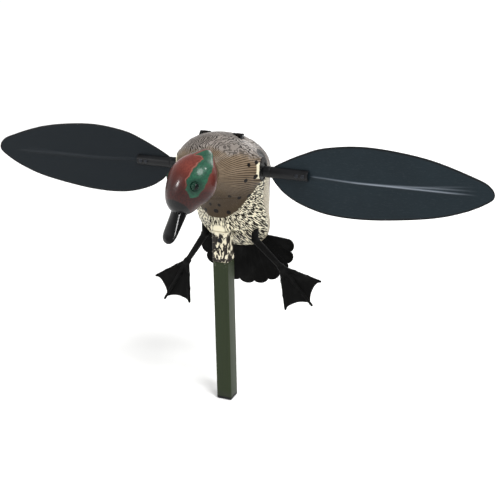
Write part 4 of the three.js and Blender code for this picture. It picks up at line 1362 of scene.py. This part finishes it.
def leg_field(name):
    """A leg with its webbed foot, on the left side, and the box that holds it."""
    root, ankle = (leg_point(p, name) for p in (LEG_ROOT, LEG["ankle"]))
    tips = [leg_point(p, name) for p in LEG["tips"]]
    across = (tips[0] - tips[2]) / np.linalg.norm(tips[0] - tips[2])
    normal = np.cross(tips[0] - ankle, tips[2] - ankle)
    normal /= np.linalg.norm(normal)
    frame_axes = np.stack((across, np.cross(normal, across), normal), 1)
    flat = [(tip - ankle) @ frame_axes for tip in tips]
    outline = web_outline(flat)
    back = (root - ankle) / np.linalg.norm(root - ankle)
    heel = ankle + 7 * np.array((-0.25, 0.85, -0.3))

    def field(points):
        local = (points - ankle) @ frame_axes
        x, y, z = np.moveaxis(local, -1, 0)
        web = polygon_distance(x, y, outline)
        pleat = 0.25 * np.sin(np.arctan2(x, -y) * 22) * smoothstep(np.hypot(x, y), 12, 30)
        shape = meet(web + 0.4, np.abs(z + pleat) - 0.75, 0.5)
        for tip in flat:
            shape = join(shape, toe(local, tip), 1.6)
        run = (points - ankle) @ back
        rings = 0.14 * np.cos(run * 2 * math.pi / 2.6) * smoothstep(run, 3, 6)
        shank = capsule(points, root, ankle, 4.3, 3.1) - rings
        shape = join(shape, shank, 3)
        shape = join(shape, np.linalg.norm(points - ankle, axis=-1) - 3.9, 2)
        shape = join(shape, capsule(points, ankle, heel, 2.0, 1.1), 1.5)
        peg = rod(points, root, (root[0], root[1], -66.3), 4, 0.5)
        return join(shape, join(peg, np.linalg.norm(points - root, axis=-1) - 4.6, 0.8), 0.8)

    corners = np.array([root, ankle, heel, *tips, (root[0], root[1], -66)])
    return field, corners.min(0) - 5.5, corners.max(0) + 5.5


def build_legs():
    """Both legs, each made on the left side and the right one mirrored over."""
    for name, sign in SIDES:
        field, low, high = leg_field(name)
        high[2] = LEG_TOP
        points, faces = mirrored(*surface(field, low, high, LEG_STEP), sign)
        make(f"foot_{name}", points, faces, f"{name}_leg", "soft_rubber", [f"leg_{name}"])


# ---- wings --------------------------------------------------------------------------------

BLADE_ROOT = 60
BLADE_TIP = 300
BLADE_TOP = (
    (60, 0), (66, 8), (96, 23), (124, 32.5), (170, 36.8),
    (230, 30), (282, 14), (296, 6), (300, -1),
)
BLADE_BOTTOM = (
    (60, 0), (62, -8), (76, -23), (98, -34.5), (130, -42),
    (175, -42), (235, -33.5), (272, -22), (296, -8.5), (300, -1),
)
TUBE = dict(radius=6.3, start=51.8, slit=86, end=104)
RIVETS = (91.5, 98.5)
# Painted highlight lines along the rib: where each starts, how far it spreads and how bright it is.
RIB_HIGHLIGHTS = ((104, 0, 0.9), (150, 4.4, 0.5), (185, 9, 0.25))


def spline(points, steps=24):
    """A smooth curve through the points."""
    p = np.array(points, float)
    p = np.concatenate((p[:1], p, p[-1:]))
    out = []
    for a, b, c, d in zip(p, p[1:], p[2:], p[3:]):
        for t in np.linspace(0, 1, steps, endpoint=False):
            square, cube = 2 * a - 5 * b + 4 * c - d, 3 * b - a - 3 * c + d
            out.append(b + 0.5 * ((c - a) * t + square * t**2 + cube * t**3))
    return np.array(out + [p[-1]])


def blade_points():
    """One side's outline heights at places along the blade, closer together near its ends."""
    top, bottom = spline(BLADE_TOP), spline(BLADE_BOTTOM)
    share = (1 - np.cos(np.linspace(0, math.pi, 150))) / 2
    stations = BLADE_ROOT + (BLADE_TIP - BLADE_ROOT) * share
    stations = np.clip(stations, BLADE_ROOT + 1.75, BLADE_TIP - 0.05)
    upper = np.interp(stations, np.maximum.accumulate(top[:, 0]), top[:, 1])
    lower = np.interp(stations, np.maximum.accumulate(bottom[:, 0]), bottom[:, 1])
    return stations, lower, upper


def ridge_line(x):
    """The height of the raised rib that runs from the tube's end towards the tip."""
    return -0.5 - 2.4 * smoothstep(x, 95, 165) - 0.5 * smoothstep(x, 165, 290)


def blade_relief(x, z):
    """How far the faces stand out: a rib with a shallow hollow beside it."""
    off = z - ridge_line(x)
    run = smoothstep(x, 100, 112) * smoothstep(x, 276, 255)
    return (0.95 * bell(off, 1.2) - 0.2 * bell(off + 4.5, 2.4)) * run


def rib_highlights(x, z):
    """Painted highlights on the blade: pale lines that leave the rib one after another towards the tip.
    """
    off = z - ridge_line(x) - 0.4
    pale = 0 * x
    for start, spread, strength in RIB_HIGHLIGHTS:
        away = off - spread * smoothstep(x, start, BLADE_TIP)
        run = 0.3 * smoothstep(x, start, start + 8) + 0.7 * smoothstep(x, start, start + 80)
        pale += strength * run * smoothstep(x, 286, 240) * bell(away, 0.7)
    return pale


def blade_slab(x, lower, upper):
    """The points and faces of one blade, thick along the rib and thin at the rim."""
    spread = np.linspace(-1, 1, 61)
    spread = np.sign(spread) * np.abs(spread) ** 1.35
    columns = len(spread)
    middle = np.clip(ridge_line(x), lower + 0.1, upper - 0.1)[:, None]
    reach = np.where(spread > 0, upper[:, None] - middle, middle - lower[:, None])
    z = middle + spread * reach
    xx = np.repeat(x[:, None], columns, 1)
    rim = reach * (1 - np.abs(spread)) + 0.02
    end = np.minimum(np.minimum(xx - BLADE_ROOT, BLADE_TIP - xx), 20) + 0.02
    edge = np.minimum(rim, end)
    thick = 0.6 * np.clip(np.sqrt(np.clip(edge / 0.9, 0, 1)), 0.25, 1)
    thick = thick + 0.14 * bell(edge - 1.6, 0.8) + blade_relief(xx, z)
    front = np.stack((xx, -thick, z), -1).reshape(-1, 3)
    rear = np.stack((xx, thick, z), -1).reshape(-1, 3)
    points = np.concatenate((front, rear))
    # The tube's slit takes the blade, so the blade has a notch where the solid tube lies.
    notch = (xx < TUBE["slit"] + GAP) & (np.abs(z) < TUBE["radius"] + GAP)
    hidden = np.tile(notch.ravel(), 2)
    kept = [f[::-1] for f in slab_faces(len(x), columns) if not all(hidden[i] for i in f)]
    return points, kept


def paint_blade(piece, sign, outline):
    """Stores how far a blade's points are from its rim, how much painted highlight its rib shows and how
    much painted shade it takes.
    """
    x, _, z = (points_of(piece) * (sign, 1, 1)).T
    along, lower, upper = outline
    above = z - np.interp(x, along, lower)
    below = np.interp(x, along, upper) - z
    ends = np.minimum(x - BLADE_ROOT, BLADE_TIP - x) * 1.5
    rib = rib_highlights(x, z)
    # Painted light: the left wing's rib gets full painted highlights; the right wing's are faint, and
    # the whole right blade takes painted shade.
    glow, shade = (1, 0) if sign > 0 else (0.3, 0.9)
    edge = np.minimum(np.minimum(above, below), ends)
    add_values(piece, edge=edge, rib=rib * glow, shade=0 * rib + shade)


def build_blades():
    """Both wing blades, the right one mirrored from the left."""
    outline = blade_points()
    points, faces = blade_slab(*outline)
    for name, sign in SIDES:
        places, turned = mirrored(points, faces, sign)
        wing, node = f"wing_{name}", f"wing_blade_{name}"
        piece = make(f"blade_{name}", places, turned, wing, "wing_paint", [node], sharp=60)
        close_holes(piece)
        paint_blade(piece, sign, outline)


def close_holes(piece):
    """Drops loose points and closes the notch's edge, so that the mesh is one closed skin."""
    work = bmesh.new()
    work.from_mesh(piece.data)
    bmesh.ops.remove_doubles(work, verts=work.verts, dist=0.01 * MM)
    bmesh.ops.delete(work, geom=[v for v in work.verts if not v.link_faces], context="VERTS")
    open_edges = [e for e in work.edges if e.is_boundary]
    if open_edges:
        bmesh.ops.bridge_loops(work, edges=open_edges)
    bmesh.ops.recalc_face_normals(work, faces=work.faces)
    work.to_mesh(piece.data)
    work.free()


def tube_field(points):
    """A wing's tube, bored for the axle and slit for the blade."""
    shape = rod(points, (TUBE["start"], 0, 0), (TUBE["end"], 0, 0), TUBE["radius"], 0.7)
    shape = cut(shape, rod(points, (40, 0, 0), (84.6, 0, 0), 3.2, 0.1), 0.2)
    shape = cut(shape, rod(points, (40, 0, 0), (59, 0, 0), 4.9, 0.3), 0.3)
    groove = np.hypot(points[..., 0] - 60.5, np.hypot(points[..., 1], points[..., 2]) - 6.6) - 0.7
    shape = cut(shape, groove, 0.4)
    shape = cut(shape, cuboid(points, (40, 1.6, 30), (TUBE["slit"] + 20, 0, 0), 0.1), 0.3)
    bore = rod(points, (96, 0, 0), (120, 0, 0), 4.3, 0.1)
    shape = cut(shape, bore, 0.3)
    for x in RIVETS:
        shape = cut(shape, rod(points, (x, -20, 0), (x, 20, 0), 1.5), 0.2)
    return shape


def build_wings():
    """The blades, the tubes that hold them and the rivets through both."""
    build_blades()
    reach = TUBE["radius"] + 0.5
    low, high = (TUBE["start"], -reach, -reach), (TUBE["end"], reach, reach)
    tube, faces = surface(tube_field, low, high, 0.45)
    half = TUBE["radius"] + GAP
    angles = np.linspace(0, math.pi / 2, 7)[:-1]
    head_side = [(half + 0.95 * math.cos(t), 2.4 * math.sin(t)) for t in angles]
    head_side += [(half, 2.4), (half, 1.3)]
    profile = [(-along, radius) for along, radius in head_side] + head_side[::-1]
    for name, sign in SIDES:
        wing = f"wing_{name}"
        places, turned = mirrored(tube, faces, sign)
        make(f"sleeve_{name}", places, turned, wing, "black_plastic", [f"wing_tube_{name}"])
        for index, x in enumerate(RIVETS):
            points, rivet = lathe(profile, (0, 1, 0), (sign * x, 0, 0), 20)
            node = f"wing_rivet_{name}_{index + 1}"
            title = f"rivet_{name}_{index + 1}"
            make(title, points, rivet, wing, "steel", [node], "dark_steel", sharp=50)


def build_flanks():
    """The discs that close the flanks, with a raised ring round the axle."""
    edge = FLANK_DISC
    profile = [(44, 4), (44, edge), (50.2, edge), (50.2, 7), (50.8, 6.4), (50.8, 4), (44, 4)]
    for name, sign in SIDES:
        places, faces = mirrored(*turned_ring(rounded(profile, 0.35)[:-1], 64), sign)
        node = f"axle_bush_{name}"
        make(f"flank_disc_{name}", places, faces, "decoy", "black_plastic", [node], sharp=40)


# ---- pole and stem ------------------------------------------------------------------------


def square_ring(side, corner, z, per=8):
    """Points round a square with round corners."""
    h = side / 2 - corner
    points = []
    for quarter in range(4):
        start = quarter * math.pi / 2
        cx, cy = ((h, h), (-h, h), (-h, -h), (h, -h))[quarter]
        for t in np.linspace(start, start + math.pi / 2, per):
            points.append((cx + corner * math.cos(t), cy + corner * math.sin(t), z))
    return np.array(points)


def square_tube(name, rings, slot, node):
    """A closed skin through square rings, the last joined to the first."""
    points = np.concatenate([square_ring(*ring) for ring in rings])
    per_ring = len(points) // len(rings)
    faces = grid_faces(len(rings) + 1, per_ring, wrap=True) % len(points)
    make(name, points, faces, "pole", slot, [node], sharp=40)


def build_pole():
    """The pole's tube, drawn hollow, and the bush in its lower end."""
    low, high = (corner[2] for corner in node_box("pole_tube"))
    outer, inner = POLE_SIDE, POLE_SIDE - 3
    rings = [(outer - 0.5, 1.4, low), (outer, 1.6, low + 0.25)]
    rings += [(outer, 1.6, z) for z in np.linspace(low + 6, high - 6, 8)]
    rings += [(outer, 1.6, high - 0.25), (outer - 0.5, 1.4, high), (inner + 0.3, 0.7, high)]
    rings += [(inner, 0.6, high - 0.2), (inner, 0.6, low + 0.2), (inner + 0.3, 0.7, low)]
    square_tube("pole_visual", rings, "pole_paint", "pole_tube")
    base, plug_top = (corner[2] for corner in node_box("pole_end_bush"))
    flange = base + 2.7
    bush = [(outer - 0.8, 1.3, base), (outer, 1.6, base + 0.4)]
    bush += [(outer, 1.6, flange - 0.2), (outer - 0.4, 1.5, flange)]
    bush += [(15.6, 0.6, flange), (15.45, 0.5, flange + 0.3)]
    bush += [(15.45, 0.5, plug_top - 0.6), (14.6, 0.5, plug_top)]
    bush += [(12, 0.7, plug_top), (11.6, 0.6, plug_top - 0.3)]
    bush += [(11.6, 0.6, base + 0.5), (12.4, 0.7, base)]
    square_tube("end_bush_visual", bush, "black_plastic", "pole_end_bush")


def stem(points):
    """The stem: a square block with a peg into the pole, a flange in the shell and a seam."""
    top = STEM_SHOULDER - GAP
    pole_top = node_box("pole_tube")[1][2]
    height, middle = top - pole_top - GAP, (top + pole_top + GAP) / 2
    block = cuboid(points, (POLE_SIDE, POLE_SIDE, height), (0, 0, middle), 1.4)
    peg = cuboid(points, (15.4, 15.4, 94), (0, 0, pole_top - 40 + 47), 0.6)
    flange = cuboid(points, (32, 25, 4), (0, 12.5, -59), 0.8)
    shape = join(join(block, meet(peg, points[..., 2] + 57, 0.3), 0.6), flange, 0.8)
    seam = cuboid(points, (30, 0.5, 60), (0, 0, -92), 0.1)
    shape = cut(shape, np.maximum(seam, -(block + 0.35)), 0.2)
    shape = cut(shape, rod(points, (0, -20, -84), (0, -POLE_SIDE / 2 + 1.4, -84), 3.6, 0.2), 0.4)
    return cut(shape, rod(points, (0, -20, -84), (0, 6, -84), 1.7), 0.2)


def build_stem():
    """The square stem that the duck stands on."""
    low, high = node_box("pole_stem")
    carved("stem_visual", stem, low, high, 0.75, "decoy", "belly_cream", ["pole_stem"], "stem_paint")


# ---- inside -------------------------------------------------------------------------------


def build_cells():
    """Battery cells with a crimped rim, a sleeve and a raised contact."""
    lean = math.radians(PARTING_LEAN)
    upward = np.array((0, -math.sin(lean), math.cos(lean)))
    profile = [(0, 0), (0, 6.2), (0.5, 7.0), (47.6, 7.0), (48.2, 6.6), (48.4, 5.6)]
    profile += [(48.2, 3.1), (48.6, 2.8), (49.8, 2.6), (50, 0)]
    for index in range(4):
        node = f"battery_cell_{index + 1}"
        axis = upward if index % 2 == 0 else -upward
        start = sum(node_box(node)) / 2 - 25 * axis
        points, faces = lathe(rounded(profile, 0.3), axis, start, 40)
        cell = f"cell_{index + 1}"
        piece = make(cell, points, faces, "decoy", "cell_sleeve", [node], sharp=50)
        add_values(piece, along=(points - start) @ axis)


def build_motor():
    """The motor's can with rolled rims."""
    half = [(-23, 15.6), (-23, 16.6), (-22.6, 17), (-18, 17), (-17.6, 16.8), (-17.2, 17)]
    ring = half + [(-along, radius) for along, radius in half[::-1]]
    points, faces = turned_ring(ring, 72)
    make("motor_visual", points, faces, "decoy", "steel", ["motor_can"], sharp=40)


def paint_carried_nodes():
    """Every CAD node gets its slot's own material."""
    slots = {part["node"]: part["material_slot"] for part in frame["record"]["subparts"]}
    for name, node in frame["nodes"].items():
        node.data.materials.clear()
        node.data.materials.append(PAINTS[slots[name]])


# ---- stage --------------------------------------------------------------------------------

# Softboxes: name, place from the pole's line at the axle's height, size and power.
SOFTBOXES = (
    ("front", (-1.22, -1.24, 0.58), 0.2, 9),
    ("rim", (0.25, 1.5, 0.75), 0.8, 10),
    ("shoulder", (0.82, 0.16, 0.96), 0.14, 3),
)
KEY_FROM = (0.62, -0.34, 0.95)
SKY = {"From Min": 0.05, "From Max": 0.3, "To Min": 1.0, "To Max": 0.48}
CAMERA = dict(
    at=(0.4260, -0.9008, 0.5621),
    right=(0.9191, 0.3938, -0.0162),
    ahead=(-0.3740, 0.8585, -0.3509),
    lens=66.57,
    sensor=36,
)
FLOOR_HALF = 30
FLOOR_DROP = 0.0005


def build_floor():
    """A plain pale floor just under the part."""
    mesh = bpy.data.meshes.new("floor")
    corners = [(x * FLOOR_HALF, y * FLOOR_HALF, 0) for x, y in ((-1, -1), (1, -1), (1, 1), (-1, 1))]
    mesh.from_pydata(corners, [], [(0, 1, 2, 3)])
    floor = add_object("floor", mesh)
    floor.location.z = CAD_BOX[0][2] - FLOOR_DROP
    paint = Paint("floor", 0.9, specular=0.1)
    cloud = paint.noise(paint.place(), 0.0008, 3)
    paint.color(paint.mix(cloud, srgb(246, 246, 245), srgb(252, 252, 251)))
    mesh.materials.append(paint.material)


def build_sky():
    """White surroundings, half as bright overhead as at the horizon."""
    world = bpy.data.worlds.new("studio")
    world.use_nodes = True
    nodes, links = world.node_tree.nodes, world.node_tree.links
    parts = nodes.new("ShaderNodeSeparateXYZ")
    links.new(nodes.new("ShaderNodeTexCoord").outputs["Generated"], parts.inputs[0])
    rise = nodes.new("ShaderNodeMapRange")
    links.new(parts.outputs[2], rise.inputs["Value"])
    for key, value in SKY.items():
        rise.inputs[key].default_value = value
    links.new(rise.outputs[0], nodes["Background"].inputs["Strength"])
    nodes["Background"].inputs["Color"].default_value = (1, 1, 1, 1)
    bpy.context.scene.world = world
    bpy.context.scene.view_settings.view_transform = "Standard"


def build_lights():
    sun = bpy.data.lights.new("key", "SUN")
    sun.energy = 2.5
    sun.angle = math.radians(28)
    lamp = add_object("key", sun)
    lamp.rotation_euler = Vector(KEY_FROM).to_track_quat("Z", "Y").to_euler()
    for name, place, size, power in SOFTBOXES:
        light = bpy.data.lights.new(name, "AREA")
        light.size = size
        light.energy = power
        lamp = add_object(name, light)
        lamp.location = Vector(place) + Vector((0, 0, AXLE.z))
        lamp.rotation_euler = (AXLE - lamp.location).to_track_quat("-Z", "Y").to_euler()


def build_camera():
    """The photo's camera, found from the pole's edges, the axle's line and the wings' outline."""
    camera = bpy.data.cameras.new("camera")
    camera.sensor_width = CAMERA["sensor"]
    camera.lens = CAMERA["lens"]
    view = add_object("camera", camera)
    right, ahead = (Vector(CAMERA[axis]).normalized() for axis in ("right", "ahead"))
    up = right.cross(ahead).normalized()
    right = ahead.cross(up)
    turn = Matrix((right, up, -ahead)).transposed()
    view.matrix_world = Matrix.Translation(CAMERA["at"]) @ turn.to_4x4()
    bpy.context.scene.camera = view


build_camera()
build_floor()
build_sky()
build_lights()
paint_carried_nodes()
build_pole()
build_stem()
build_body()
build_switch()
build_fasteners()
build_head()
build_bill()
build_eyes()
build_tail()
build_legs()
build_wings()
build_flanks()
build_cells()
build_motor()
